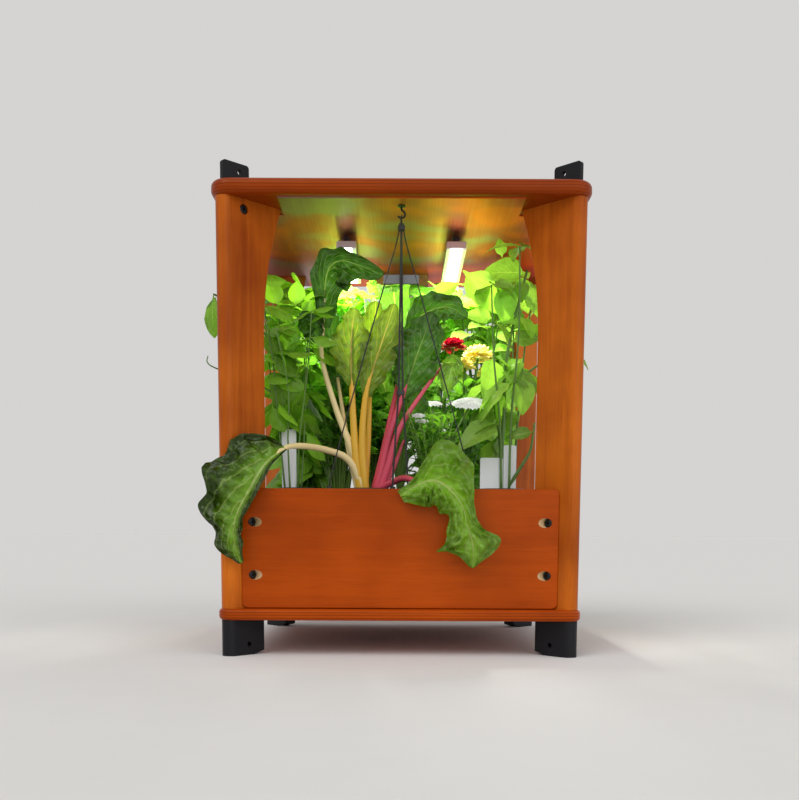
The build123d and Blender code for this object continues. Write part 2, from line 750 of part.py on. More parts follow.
with BuildPart() as reservoir_tub:
    with BuildSketch(Plane.XY.offset(post_z)):
        Polygon(*octagon(TUB_HALF, TUB_CORNER_SUM), align=None)
    extrude(amount=TUB_HEIGHT)
    with BuildSketch(Plane.XY.offset(post_z + TUB_FLOOR)):
        inner_sum = TUB_CORNER_SUM - TUB_WALL * sqrt(2)
        Polygon(*octagon(TUB_HALF - TUB_WALL, inner_sum), align=None)
    extrude(amount=TUB_HEIGHT, mode=Mode.SUBTRACT)
save(reservoir_tub.part, "reservoir_tub")

with BuildPart() as grow_deck:
    with BuildSketch(Plane.XY.offset(tub_top)):
        Polygon(*octagon(TUB_HALF + DECK_LAP, TUB_CORNER_SUM + DECK_LAP * sqrt(2)), align=None)
        with Locations(*pot_places):
            Circle(POT_HOLE / 2, mode=Mode.SUBTRACT)
    extrude(amount=DECK_THICK)
save(grow_deck.part, "grow_deck")

pot_low = deck_top - POT_DEPTH
pot_taper = (POT_TOP - POT_BOTTOM) / 2 / POT_DEPTH
pot_inner = [POT_BOTTOM / 2 - POT_WALL + pot_taper * rise for rise in (POT_WALL, POT_DEPTH - PLUG_DOWN)]

with BuildPart() as net_pot:
    with Locations((0, 0, pot_low)):
        Cone(POT_BOTTOM / 2, POT_TOP / 2, POT_DEPTH, align=UP)
    with Locations((0, 0, deck_top)):
        Cylinder(POT_RIM / 2, POT_RIM_THICK, align=UP)
    fillet(net_pot.edges().sort_by(Axis.Z)[-1], 1.0)
    inside_high = POT_DEPTH - POT_WALL + POT_RIM_THICK
    with Locations((0, 0, pot_low + POT_WALL)):
        inside_top = pot_inner[0] + pot_taper * inside_high
        Cone(pot_inner[0], inside_top, inside_high, align=UP, mode=Mode.SUBTRACT)
    with Locations((0, 0, pot_low + POT_SLOT_UP)):
        for index in range(POT_SLOTS // 2):
            turn = (0, 0, 360 / POT_SLOTS * index)
            Box(POT_RIM, POT_SLOT_WIDE, POT_SLOT_HIGH, rotation=turn, align=UP, mode=Mode.SUBTRACT)
save(placed(net_pot.part, pot_places), "net_pots")

with BuildPart() as grow_plug:
    plug_high = plug_top - pot_low - POT_WALL
    with Locations((0, 0, pot_low + POT_WALL)):
        Cone(pot_inner[0] - PLUG_SLIP, pot_inner[1] - PLUG_SLIP, plug_high, align=UP)
save(placed(grow_plug.part, pot_places), "grow_plugs")


def label(x, y, width, height):
    """A blank tag that stands on a plug."""
    with BuildPart() as tag:
        with BuildSketch(Plane(origin=(x, y, plug_top), x_dir=(1, 0, 0), z_dir=(0, -1, 0))) as face:
            with Locations((0, height / 2)):
                Rectangle(width, height)
            fillet(face.vertices().group_by(Axis.Z)[-1], LABEL_CORNER)
        extrude(amount=LABEL_THICK)
    return tag.part


with BuildPart() as plant_labels:
    add(label(-122.5, -109.5, 16, 70))
    add(label(100.5, -109, 25, 40))
    add(label(121, -106, 14, 54))
save(plant_labels.part, "plant_labels")

# Pump
pump_floor = post_z + TUB_FLOOR
pump_axis_z = pump_floor + PUMP_HIGH / 2
chamber_deep = IMPELLER_LONG + 2 * RUN_GAP
chamber_y = PUMP_FRONT + chamber_deep / 2
pump_face = Plane(origin=(0, PUMP_FRONT, pump_axis_z), x_dir=(1, 0, 0), z_dir=(0, -1, 0))
pump_top = pump_floor + PUMP_HIGH

with BuildPart() as pump_body:
    with Locations((0, PUMP_FRONT + PUMP_DEPTH / 2, pump_floor)):
        Box(PUMP_WIDTH, PUMP_DEPTH, PUMP_HIGH, align=UP)
    fillet(pump_body.edges().filter_by(Axis.Z).group_by(Axis.Y)[-1], PUMP_CORNER)
    with BuildSketch(pump_face):
        Circle(CHAMBER / 2)
    extrude(amount=-chamber_deep, mode=Mode.SUBTRACT)
    with BuildSketch(pump_face.offset(-chamber_deep)):
        Circle(AXLE / 2)
    extrude(amount=chamber_deep - AXLE_SHORT)
    with BuildSketch(Plane.XY.offset(pump_top)):
        with Locations((0, chamber_y)):
            Circle(SPIGOT / 2)
    extrude(amount=SPIGOT_HIGH)
    with BuildSketch(Plane.XY.offset(pump_top + SPIGOT_HIGH)):
        with Locations((0, chamber_y)):
            Circle(SPIGOT_BORE / 2)
    extrude(amount=-(SPIGOT_HIGH + (PUMP_HIGH - IMPELLER) / 2), mode=Mode.SUBTRACT)
save(pump_body.part, "pump_body")

with BuildPart() as pump_cover:
    with BuildSketch(pump_face):
        Circle(COVER / 2)
        with PolarLocations(INLET_RING, INLET_COUNT):
            SlotOverall(INLET_LONG, INLET_WIDE, mode=Mode.SUBTRACT)
    extrude(amount=COVER_THICK)
save(pump_cover.part, "pump_cover")

with BuildPart() as pump_impeller:
    with BuildSketch(pump_face.offset(-RUN_GAP)):
        Circle(IMPELLER_HUB / 2)
        with PolarLocations(IMPELLER / 4, BLADE_COUNT):
            Rectangle(IMPELLER / 2, BLADE_THICK)
        Circle(AXLE / 2 + BORE_SLIP, mode=Mode.SUBTRACT)
    extrude(amount=-IMPELLER_LONG)
save(pump_impeller.part, "pump_impeller")

with BuildPart() as riser_tube:
    with BuildSketch(Plane.XY.offset(pump_top)):
        with Locations((0, chamber_y)):
            Circle(RISER_OUTER / 2)
            Circle(SPIGOT / 2 + BORE_SLIP, mode=Mode.SUBTRACT)
    extrude(amount=RISER_HIGH)
save(riser_tube.part, "riser_tube")


# Plants
def rib_planes(points, facing):
    """Planes square to a rib at each of its points, their y turned the way the leaf faces."""
    planes = []
    for index, point in enumerate(points):
        ahead = Vector(*points[min(index + 1, len(points) - 1)])
        behind = Vector(*points[max(index - 1, 0)])
        way = ahead - behind
        planes.append(Plane(origin=point, x_dir=Vector(*facing).cross(way), z_dir=way))
    return planes


def stalk(points, thick):
    """A six-sided stem through points, given its thickness at each."""
    with BuildPart() as stem:
        for plane, width in zip(rib_planes(points, STEM_FACING), thick):
            with BuildSketch(plane):
                RegularPolygon(width / 2, 6)
        loft(ruled=True)
    return stem.part


def blade(points, half_widths, facing, cup):
    """A leaf along a rib, its margins lifted by cup where it is widest."""
    with BuildPart() as leaf:
        for plane, half in zip(rib_planes(points, facing), half_widths):
            low = cup * half / max(half_widths) - LEAF_EDGE / 2
            high = low + LEAF_EDGE
            rib = LEAF_RIB / 2
            with BuildSketch(plane):
                under = [(-half, low), (0, -rib), (half, low)]
                over = [(half, high), (0, rib), (-half, high)]
                Polygon(*under, *over, align=None)
        loft(ruled=True)
    return leaf.part


def bush(place, height, leaves, reach, width, rise, droop, first, turn, lean):
    """A stalk with leaves a golden angle apart, from the share first of its height to its top."""
    foot_point = Vector(place[0], place[1], plug_top)
    crown = foot_point + Vector(lean[0], lean[1], height)
    with BuildPart() as plant:
        add(stalk([tuple(foot_point), tuple(crown)], (5.0, 3.2)))
        for index in range(leaves):
            share = first + (0.985 - first) * index / (leaves - 1)
            root = foot_point + (crown - foot_point) * share
            angle = radians(turn + GOLDEN_TURN * index)
            out = Vector(cos(angle), sin(angle), 0) * reach
            rib = [
                root,
                root + out * 0.35 + Vector(0, 0, rise * 0.6),
                root + out * 0.7 + Vector(0, 0, rise),
                root + out + Vector(0, 0, rise - droop),
            ]
            widths = (1.0, width * 0.8, width, 1.0)
            add(blade([tuple(point) for point in rib], widths, SKYWARD, width * 0.25))
    return plant.part


def tuft(place, height, heads, spread, size, flat):
    """Thin stems that fan out from a plug, each with a domed head."""
    with BuildPart() as plant:
        base_point = (place[0], place[1], plug_top)
        with Locations(base_point):
            Cylinder(4.0, 6.0, align=UP)
        for index in range(heads):
            angle = radians(GOLDEN_TURN * index)
            out = spread * sqrt((index + 0.5) / heads)
            tip = (place[0] + out * cos(angle), place[1] + out * sin(angle), plug_top + height)
            tip = (tip[0], tip[1], tip[2] - 0.25 * height * (out / spread) ** 2)
            start = (place[0] + 2 * cos(angle), place[1] + 2 * sin(angle), plug_top + 2)
            add(stalk([start, tip], (2.4, 1.8)))
            with Locations(tip):
                Cone(size * 0.5, size, size * flat, align=UP)
    return plant.part


places = [(x, y) for x, y, _ in pot_places]

with BuildPart() as basil_plants:
    add(bush(places[0], 196, 9, 28, 13, 10, 22, 0.46, 20, (-14, 0)))
    add(bush(places[7], 214, 9, 34, 15, 10, 22, 0.3, 80, (0, 0)))
save(basil_plants.part, "basil_plants")

with BuildPart() as pepper_plants:
    add(bush(places[3], 232, 10, 34, 13, 12, 28, 0.36, 60, (4, -2)))
    add(bush(places[10], 240, 10, 34, 14, 12, 26, 0.28, 10, (0, 0)))
save(pepper_plants.part, "pepper_plants")

with BuildPart() as parsley_plants:
    add(tuft(places[4], 132, 10, 32, 9.0, 0.6))
    add(tuft(places[8], 178, 10, 32, 9.5, 0.6))
save(parsley_plants.part, "parsley_plants")

with BuildPart() as alyssum:
    add(tuft(places[2], 92, 10, 26, 9.0, 0.5))
save(alyssum.part, "alyssum")

with BuildPart() as kale:
    add(bush(places[5], 190, 8, 36, 16, 18, 26, 0.4, 35, (0, 0)))
save(kale.part, "kale")


def flowering(place, height, leaves, flower, turn):
    """A leafy stalk that ends in a round flower head."""
    with BuildPart() as plant:
        add(bush(place, height, leaves, 32, 9, 10, 18, 0.3, turn, (0, 0)))
        with Locations((place[0], place[1], plug_top + height - 1)):
            Cone(flower * 0.4, flower, flower * 0.7, align=UP)
            with Locations((0, 0, flower * 0.7)):
                Cone(flower, flower * 0.5, flower * 0.5, align=UP)
    return plant.part


with BuildPart() as marigold:
    add(flowering(places[6], 140, 7, 16, 0))
save(marigold.part, "marigold")

with BuildPart() as celosia:
    add(flowering(places[9], 168, 7, 13, 50))
save(celosia.part, "celosia")

# Chard: upright leaves on gold stems, and two leaves that hang over the front
with BuildPart() as rainbow_chard:
    with Locations((places[1][0], places[1][1], plug_top)):
        Cone(15, 9, 12, align=UP)
    gold = [(-44, -106, 175), (-50, -106, 270), (-56, -102, 372)]
    add(stalk(gold, (8.0, 7.0, 4.5)))
    top_leaf = [(-55.5, -102, 368), (-58, -104, 392), (-58, -110, 415), (-60, -114, 434)]
    add(blade(top_leaf, (1.5, 24, 30, 10), FORWARD, 4))
    lime = [(-32, -110, 175), (-34, -118, 250), (-30, -122, 300)]
    add(stalk(lime, (8.0, 6.5, 4.5)))
    lime_leaf = [(-30.5, -122, 296), (-30, -124, 325), (-31, -124, 356), (-33, -121, 378)]
    add(blade(lime_leaf, (1.5, 22, 25, 6), FORWARD, 4))
    pale = [(-45, -103, 176), (-62, -100, 240), (-79, -98, 318)]
    add(stalk(pale, (6.5, 5.5, 3.5)))
    pale_leaf = [(-78.5, -98, 316), (-80, -99, 340), (-80, -100, 365), (-80, -101, 384)]
    add(blade(pale_leaf, (1.2, 8, 9, 2), FORWARD, 2))
    pink = [(-27, -106, 175), (-12, -106, 235), (2, -108, 286)]
    add(stalk(pink, (8.0, 6.0, 4.0)))
    dark_leaf = [(1.5, -108, 284), (12, -112, 312), (28, -116, 345), (38, -114, 372)]
    add(blade(dark_leaf, (1.5, 20, 24, 6), FORWARD, 4))
    left_stem = [(-46, -108, 178), (-80, -126, 213), (-106, -156, 221), (-118, -172, 214)]
    add(stalk(left_stem, (7.0, 6.0, 5.0, 4.0)))
    left_bend = [(-116, -169.3, 215.2), (-134, -181, 212), (-156, -188.8, 190)]
    left_hang = [(-168, -189.4, 150), (-164, -189.4, 106)]
    add(blade(left_bend + left_hang, (1.2, 20, 21, 17, 4), FORWARD, 0.2))
    right_stem = [(-28, -116, 180), (4, -142, 187), (24, -162, 189), (32, -174, 188)]
    add(stalk(right_stem, (6.5, 5.5, 4.5, 4.0)))
    right_bend = [(31, -172.5, 188.2), (38, -182, 193), (50, -187.5, 167)]
    right_hang = [(64, -188, 138), (74, -188, 108)]
    add(blade(right_bend + right_hang, (1.2, 26, 32, 20, 3), FORWARD, 0.2))
save(rainbow_chard.part, "rainbow_chard")
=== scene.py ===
import math

import bpy
import numpy as np
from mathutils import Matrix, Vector


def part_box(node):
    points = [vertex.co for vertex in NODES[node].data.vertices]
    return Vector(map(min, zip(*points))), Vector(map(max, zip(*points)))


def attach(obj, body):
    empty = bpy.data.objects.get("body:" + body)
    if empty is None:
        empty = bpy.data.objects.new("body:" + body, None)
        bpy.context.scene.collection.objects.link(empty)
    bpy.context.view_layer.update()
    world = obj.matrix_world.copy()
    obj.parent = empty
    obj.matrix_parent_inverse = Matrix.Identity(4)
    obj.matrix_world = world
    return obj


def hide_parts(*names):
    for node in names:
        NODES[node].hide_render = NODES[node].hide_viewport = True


bl_info = {
    "name": "Indoor garden",
    "version": (1, 0, 0),
    "blender": (4, 5, 0),
    "location": "View3D > Sidebar > Garden",
    "description": "Finishes, plants, cords and stage of a plywood indoor garden",
    "category": "Object",
}

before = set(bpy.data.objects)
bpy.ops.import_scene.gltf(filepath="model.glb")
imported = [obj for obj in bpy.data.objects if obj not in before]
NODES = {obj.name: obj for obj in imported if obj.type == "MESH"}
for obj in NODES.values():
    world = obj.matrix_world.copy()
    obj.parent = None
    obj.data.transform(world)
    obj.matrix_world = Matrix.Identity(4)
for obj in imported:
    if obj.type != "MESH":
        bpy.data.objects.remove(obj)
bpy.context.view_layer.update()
BODY = "garden"
MM = 0.001


def measured(name):
    """The low and the high corner of a CAD node in millimetres, to a tenth."""
    return [[round(value / MM, 1) for value in corner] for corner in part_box(name)]


# Places in the frame, in millimetres
CORNERS = ("front_left", "front_right", "back_left", "back_right")
PLUG_TOP = measured("grow_plugs")[1][2]
STEM_FOOT = PLUG_TOP - 2.0
APRON_LOW, APRON_HIGH = measured("apron_front")
POST_NOSE = measured("post_front_left")[0][1]
LAMP_LOW, LAMP_HIGH = measured("led_diffuser_right")
LAMP_ASIDE = (LAMP_LOW[0] + LAMP_HIGH[0]) / 2
LAMP_MIDDLE = (LAMP_LOW[1] + LAMP_HIGH[1]) / 2
CHIP_STEP = 14.0
HOOK_Y = -157.0
POT_STEP = 73.0
POT_ROWS = ((-105.0, ("basil", "chard", "alyssum", "pepper")),
            (-15.0, ("parsley", "kale", "marigold")),
            (75.0, ("back basil", "back parsley", "celosia", "back pepper")))
POTS = {plant: ((place - (len(row) - 1) / 2) * POT_STEP, y)
        for y, row in POT_ROWS for place, plant in enumerate(row)}

# An apron's slanted bolt holes: a head's seat in the front apron, spacing, radius and way out from the seat
SEAT_X, SEAT_Y = 158.91, -171.64
BORE_SPACING = 55.0
BORE_RADIUS = 5.15
BORE_START, BORE_END = 0.2, 30.0

# Limits of the leaf tips: at the posts, as x and y together, the sides and the front, over the plugs, under
# the ceiling and under the light bars, with the room beside and along a bar that counts as under it
POST_LIMIT = 268.0
SIDE_LIMIT = 184.0
FRONT_LIMIT = -146.0
PLUG_GAP = 6.0
ROOF = 452.0
LAMP_ROOF = 436.0
LAMP_ROOM = 22.0
LAMP_REACH = 100.0

# Boxes that leaf tips keep out of, so that the flowers, labels and chard stems behind them show
BEFORE = -1000.0
KEPT_CLEAR = (((38, BEFORE, 312), (114, 10, 370)),
              ((-142, BEFORE, 0), (-104, -88, 246)),
              ((84, BEFORE, 0), (136, -88, 246)),
              ((-106, BEFORE, 0), (20, -96, 310)))

# Openings among the leaves at the right, in a plane as it is seen from the eye's place
EYE_Y, EYE_Z = -1219.0, 130.0
OPENING_Y = -108.0
OPENING_LEFT, OPENING_RIGHT = 121.0, 156.0
OPENING_LEVELS = ((184.0, 290.0), (314.0, 340.0))

# A leaf that hangs over the front: its gap to the wood, the rim that it passes, how far above the apron it
# is held before it, how far forward it may stand, and where it hangs before the left post instead
HANG_GAP = 2.5
HANG_RIM = -166.0
HANG_OVER = 3.0
HANG_LIMIT = -211.0
POST_EDGE = -158.0
POST_TOP = 480.0

# A broad leaf: the half width that is fully ruffled, and how its lobes, waves and veins follow its length
BROAD_HALF = 26.0
LOBES, WAVES, RIPPLES = 29.0, 15.0, 34.0
SIDE_VEINS, VEIN_SLANT = 8.0, 2.0

# Turns in radians, from one leaf or stem to the next and from one pair of leaves to the next
GOLDEN_TURN = 2.4
PAIR_TURN = 1.57

# A tall shoot: the height where it bends, and how many leaves it may have from its top down
SHOOT_BEND = 290.0
SHOOT_LEAVES = 7

# A leaf without room: how many tries it gets, turned on and made smaller each time
FIT_TRIES = 4
FIT_TURN = 0.9
FIT_SIZE = 0.85

FRONT = np.array((0.0, -1.0, 0.0))

# A direction that no stem runs along, which the rings of a stem are turned from
ASKEW = (0.31, 0.95, 0.05)

METAL = {"Metallic": 1.0}
COLOUR = {"subtype": "COLOR", "size": 3, "min": 0, "max": 1}


class GardenWood(bpy.types.PropertyGroup):
    """Stain and grain of the boards, posts and aprons, with painted shade in the top board's colour and
    painted light in the posts'.
    """

    light: bpy.props.FloatVectorProperty(
        name="Light stain", description="Colour of the wide early grain",
        default=(0.50, 0.074, 0.002), **COLOUR)
    dark: bpy.props.FloatVectorProperty(
        name="Dark stain", description="Colour of the narrow late grain",
        default=(0.18, 0.018, 0.0005), **COLOUR)
    # Painted shade: the top board's wide grain is darker than the aprons' and stands in for the shade on its
    # front edge.
    top: bpy.props.FloatVectorProperty(
        name="Top stain and shade", description="Colour of the top board's wide grain, darkened as painted shade",
        default=(0.33, 0.047, 0.0015), **COLOUR)
    # Painted light: the posts' wide grain is lighter than the aprons' and stands in for the light on their
    # faces.
    post: bpy.props.FloatVectorProperty(
        name="Post stain and light", description="Colour of the posts' wide grain, lightened as painted light",
        default=(0.78, 0.20, 0.015), **COLOUR)
    raw: bpy.props.FloatVectorProperty(
        name="Raw wood", description="Colour of unstained wood in the bolt holes",
        default=(0.62, 0.42, 0.22), **COLOUR)
    ply: bpy.props.FloatProperty(
        name="Ply", description="Thickness of one ply in a board's edge",
        default=0.0030, min=0.001, max=0.01, unit="LENGTH")


class GardenLamps(bpy.types.PropertyGroup):
    """The lit bars under the top board."""

    glow: bpy.props.FloatProperty(
        name="Glow", description="Brightness of the diffusers themselves", default=9.0, min=0, max=50)
    power: bpy.props.FloatProperty(
        name="Power", description="Light that each bar throws down",
        default=1.1, min=0, max=20, unit="POWER")
    colour: bpy.props.FloatVectorProperty(
        name="Colour", description="Colour of the light", default=(1.0, 0.97, 0.90), **COLOUR)


class GardenPlants(bpy.types.PropertyGroup):
    """Growth of the plants."""

    seed: bpy.props.IntProperty(
        name="Seed", description="Seed of every random draw", default=41, min=0)
    basil: bpy.props.FloatVectorProperty(
        name="Basil", description="Leaf colour of the basil", default=(0.16, 0.33, 0.022), **COLOUR)
    pepper: bpy.props.FloatVectorProperty(
        name="Pepper", description="Leaf colour of the pepper", default=(0.22, 0.39, 0.055), **COLOUR)
    chard: bpy.props.FloatVectorProperty(
        name="Chard", description="Leaf colour of the chard", default=(0.032, 0.105, 0.008), **COLOUR)
    herb: bpy.props.FloatVectorProperty(
        name="Parsley", description="Leaf colour of the parsley and the flowers' greenery",
        default=(0.12, 0.30, 0.030), **COLOUR)


class GardenStage(bpy.types.PropertyGroup):
    """Camera, floor and studio light."""

    camera: bpy.props.FloatVectorProperty(
        name="Camera", description="Where the camera stands", size=3, subtype="TRANSLATION",
        default=(0.0, -1.2189, 0.1301))
    pitch: bpy.props.FloatProperty(
        name="Pitch", description="How far the camera looks down",
        default=math.radians(6.545), subtype="ANGLE")
    roll: bpy.props.FloatProperty(
        name="Roll", description="How far the camera leans to its left",
        default=math.radians(0.265), subtype="ANGLE")
    lens: bpy.props.FloatProperty(
        name="Lens", description="Focal length on a 36 mm sensor", default=44.635, min=10, max=200)
    shift: bpy.props.FloatVectorProperty(
        name="Shift", description="Sideways and upward shift of the frame", size=2, default=(0.0, 0.3076))
    floor: bpy.props.FloatVectorProperty(
        name="Floor", description="Colour of the floor", default=(0.80, 0.79, 0.78), **COLOUR)
    sky: bpy.props.FloatProperty(
        name="Sky", description="Strength of the even light", default=0.50, min=0, max=2)
    backdrop: bpy.props.FloatProperty(
        name="Backdrop", description="Brightness of the backdrop, as a share of the floor's colour",
        default=0.83, min=0, max=2)
    key: bpy.props.FloatProperty(
        name="Key", description="Strength of the broad light from the left", default=1.1, min=0, max=20)
    fill: bpy.props.FloatProperty(
        name="Fill", description="Strength of the broad light low at the right",
        default=1.2, min=0, max=20)


GROUPS = (("garden_wood", GardenWood), ("garden_lamps", GardenLamps),
          ("garden_plants", GardenPlants), ("garden_stage", GardenStage))


# Node trees
class Output:
    """What a node puts out. Arithmetic on a number adds Math nodes to its tree."""

    def __init__(self, tree, socket):
        self.tree = tree
        self.socket = socket

    def step(self, operation, *others):
        """One Math node on this number and the others."""
        inputs = dict(enumerate((self, *others)))
        return Output(self.tree, node(self.tree, "Math", inputs, operation=operation).outputs[0])

    def __add__(self, other):
        return self.step("ADD", other)

    def __sub__(self, other):
        return self.step("SUBTRACT", other)

    def __mul__(self, other):
        return self.step("MULTIPLY", other)

    def __truediv__(self, other):
        return self.step("DIVIDE", other)

    def away(self, middle):
        """How far the number lies from a middle, on either side."""
        return (self - middle).step("ABSOLUTE")

    def ranged(self, low, high, to_low=0.0, to_high=1.0):
        """The number taken from one range to another and kept inside it."""
        inputs = dict(enumerate((self, low, high, to_low, to_high)))
        return Output(self.tree, node(self.tree, "MapRange", inputs).outputs[0])

    def grey(self):
        """A grey as bright as the number."""
        return Output(self.tree, node(self.tree, "CombineColor", {0: self, 1: self, 2: self}).outputs[0])


def feed(tree, made, inputs):
    """Give a node's inputs their values or links."""
    for key, value in inputs.items():
        if isinstance(value, Output):
            value = value.socket
        if isinstance(value, bpy.types.NodeSocket):
            tree.links.new(value, made.inputs[key])
        else:
            made.inputs[key].default_value = value


def node(tree, kind, inputs=None, family="ShaderNode", **settings):
    """A node with its settings, and its inputs as values or links."""
    made = tree.nodes.new(family + kind)
    for key, value in settings.items():
        setattr(made, key, value)
    feed(tree, made, inputs or {})
    return made


def mixed(tree, factor, first, second, mode="MIX"):
    """Two colours mixed by a factor."""
    made = node(tree, "Mix", {0: factor, 6: first, 7: second}, data_type="RGBA", blend_type=mode)
    return Output(tree, made.outputs[2])


def split(tree, vector):
    """The three numbers of a vector."""
    return [Output(tree, socket) for socket in node(tree, "SeparateXYZ", {0: vector}).outputs]


def stretched(tree, vector, factors):
    """A vector with each of its numbers multiplied."""
    return node(tree, "VectorMath", {0: vector, 1: factors}, operation="MULTIPLY").outputs[0]


def noise(tree, vector, scale, detail=2.0, **more):
    """Smooth noise between 0 and 1."""
    made = node(tree, "TexNoise", {"Vector": vector, "Scale": scale, "Detail": detail, **more})
    return Output(tree, made.outputs["Fac"])


def place_on(tree):
    """A point's place on its object, in metres."""
    return node(tree, "TexCoord").outputs["Object"]


def bumped(tree, height, strength, distance):
    """A bump normal from a height."""
    return node(tree, "Bump", {"Height": height, "Strength": strength, "Distance": distance}).outputs[0]


def rgba(colour):
    """A colour with full alpha."""
    return (*colour[:3], 1.0)


def new_group(name, inputs, outputs, kind="ShaderNodeTree"):
    """A node group with named sockets. Returns its tree, its inputs by name and its output node."""
    tree = bpy.data.node_groups.new(name, kind)
    for way, sockets in (("INPUT", inputs), ("OUTPUT", outputs)):
        for label, socket in sockets.items():
            tree.interface.new_socket(label, in_out=way, socket_type="NodeSocket" + socket)
    start = tree.nodes.new("NodeGroupInput")
    given = {label: Output(tree, start.outputs[label]) for label in inputs}
    return tree, given, tree.nodes.new("NodeGroupOutput")


def stained_grain():
    """Group: long grain with pores along the vector's x."""
    name = "Stained Grain"
    if name in bpy.data.node_groups:
        return bpy.data.node_groups[name]
    tree, given, end = new_group(name, {"Vector": "Vector", "Light": "Color", "Dark": "Color"},
                                 {"Color": "Color", "Roughness": "Float", "Height": "Float"})
    broad = stretched(tree, given["Vector"], (6, 110, 110))
    fine = stretched(tree, given["Vector"], (40, 900, 900))
    band = noise(tree, broad, 1.0, 5.0, Roughness=0.6, Distortion=0.6).ranged(0.25, 0.75)
    pore = noise(tree, fine, 1.0).ranged(0.50, 0.75)
    worn = noise(tree, given["Vector"], 7.0, 3.0).ranged(0.3, 0.7, 0.05, 0.65)
    colour = mixed(tree, band * 0.28 + worn, given["Dark"], given["Light"])
    feed(tree, end, {
        "Color": mixed(tree, pore * 0.22, colour, given["Dark"]),
        "Roughness": band * -0.08 + 0.42,
        "Height": pore * -0.6 + band,
    })
    return tree


def fine_speckle():
    """Group: the fine pebble of a moulded or rolled surface, whose tone and gloss drift over it."""
    name = "Fine Speckle"
    if name in bpy.data.node_groups:
        return bpy.data.node_groups[name]
    tree, given, end = new_group(
        name, {"Color": "Color", "Scale": "Float", "Spread": "Float", "Rough Low": "Float",
               "Rough High": "Float"},
        {"Color": "Color", "Roughness": "Float", "Height": "Float"})
    where = place_on(tree)
    cloud = noise(tree, where, 22.0, 3.0)
    tone = (cloud - 0.5) * given["Spread"] + 1.0
    feed(tree, end, {
        "Color": mixed(tree, 1.0, given["Color"], tone.grey(), "MULTIPLY"),
        "Roughness": cloud.ranged(0.3, 0.7, given["Rough Low"], given["Rough High"]),
        "Height": noise(tree, where, given["Scale"], 3.0),
    })
    return tree


def leaf_veins():
    """Group: a midrib, side veins and mottling on a leaf's own map, toned by its tone attribute."""
    name = "Leaf Veins"
    if name in bpy.data.node_groups:
        return bpy.data.node_groups[name]
    tree, given, end = new_group(
        name, {"Leaf": "Color", "Vein": "Color", "Count": "Float", "Rib": "Float", "Slant": "Float",
               "Mottle": "Float", "Blister": "Float"},
        {"Color": "Color", "Height": "Float", "Shine": "Float"})
    where = place_on(tree)
    across, along, _ = split(tree, node(tree, "UVMap", uv_map="UVMap").outputs[0])
    aside = across.away(0.5)
    rib_width = given["Rib"] * (along * -0.7 + 1.0)
    rib = (aside / rib_width).ranged(0.5, 1.0, 1.0, 0.0)
    swept = aside * given["Slant"] - along + noise(tree, where, 55.0) * 0.16
    saw = (swept * given["Count"]).step("FRACT").away(0.5)
    side = saw.ranged(0.40, 0.49) * aside.ranged(0.15, 0.5, 0.6, 0.05)
    vein = rib.step("MAXIMUM", side)
    spots = noise(tree, where, 160.0, 4.0)
    mottle = (spots - 0.5) * given["Mottle"]
    # The tone attribute carries each leaf's random tone and, on broad leaves, painted shade toward the
    # margin.
    carried = node(tree, "Attribute", attribute_name="tone", attribute_type="GEOMETRY")
    tone = Output(tree, carried.outputs["Fac"]) * 0.9 + 0.55 + mottle
    colour = mixed(tree, 1.0, given["Leaf"], tone.step("MAXIMUM", 0.12).grey(), "MULTIPLY")
    cells = node(tree, "TexVoronoi", {"Vector": where, "Scale": 150.0}, feature="SMOOTH_F1")
    hollow = Output(tree, cells.outputs["Distance"]) - 0.6
    bulge = saw * aside.ranged(0.0, 0.25, 0.0, 0.9) + hollow * given["Blister"]
    feed(tree, end, {
        "Color": mixed(tree, vein, colour, given["Vein"]),
        "Height": spots * 0.35 - bulge - vein * 0.5,
        "Shine": spots * 0.22 + 0.18,
    })
    return tree


# Finishes
def new_finish(name):
    """An empty material with one Principled shader. Returns it, its tree and the shader."""
    finish = bpy.data.materials.new(name)
    finish.use_nodes = True
    tree = finish.node_tree
    tree.nodes.clear()
    shader = node(tree, "BsdfPrincipled")
    node(tree, "OutputMaterial", {"Surface": shader.outputs[0]})
    return finish, tree, shader


def ply_lines(tree, where, lowest, ply):
    """A mask of the glue lines in a board's edge, counted up from its lowest level."""
    upward = split(tree, node(tree, "NewGeometry").outputs["Normal"])[2]
    edge = upward.step("ABSOLUTE").ranged(0.35, 0.75, 1.0, 0.0)
    level = noise(tree, where, 60.0) * 0.0006 + split(tree, where)[2]
    line = ((level - lowest) / ply).step("FRACT").away(0.5)
    return line.ranged(0.36, 0.48) * edge


def wood_finish(name, props, turn, light, lowest=None):
    """Stained plywood whose grain runs along the turned x. A board's lowest level adds its plies."""
    finish, tree, shader = new_finish(name)
    where = place_on(tree)
    moved = (0.013 * len(name), 0.07, 0.0)
    laid = node(tree, "Mapping", {"Vector": where, "Rotation": turn, "Location": moved})
    grain = node(tree, "Group", {"Vector": laid.outputs[0], "Light": rgba(light), "Dark": rgba(props.dark)},
                 node_tree=stained_grain())
    colour = grain.outputs["Color"]
    if lowest is not None:
        glue = ply_lines(tree, where, lowest, props.ply)
        colour = mixed(tree, glue * 0.75, colour, rgba([value * 0.25 for value in props.dark]))
    feed(tree, shader, {
        "Base Color": colour,
        "Roughness": grain.outputs["Roughness"],
        "Normal": bumped(tree, grain.outputs["Height"], 0.12, 0.0004),
        "Specular IOR Level": 0.22,
        "Specular Tint": (1.0, 0.5, 0.2, 1.0),
        "Coat Weight": 0.08,
        "Coat Roughness": 0.18,
    })
    return finish


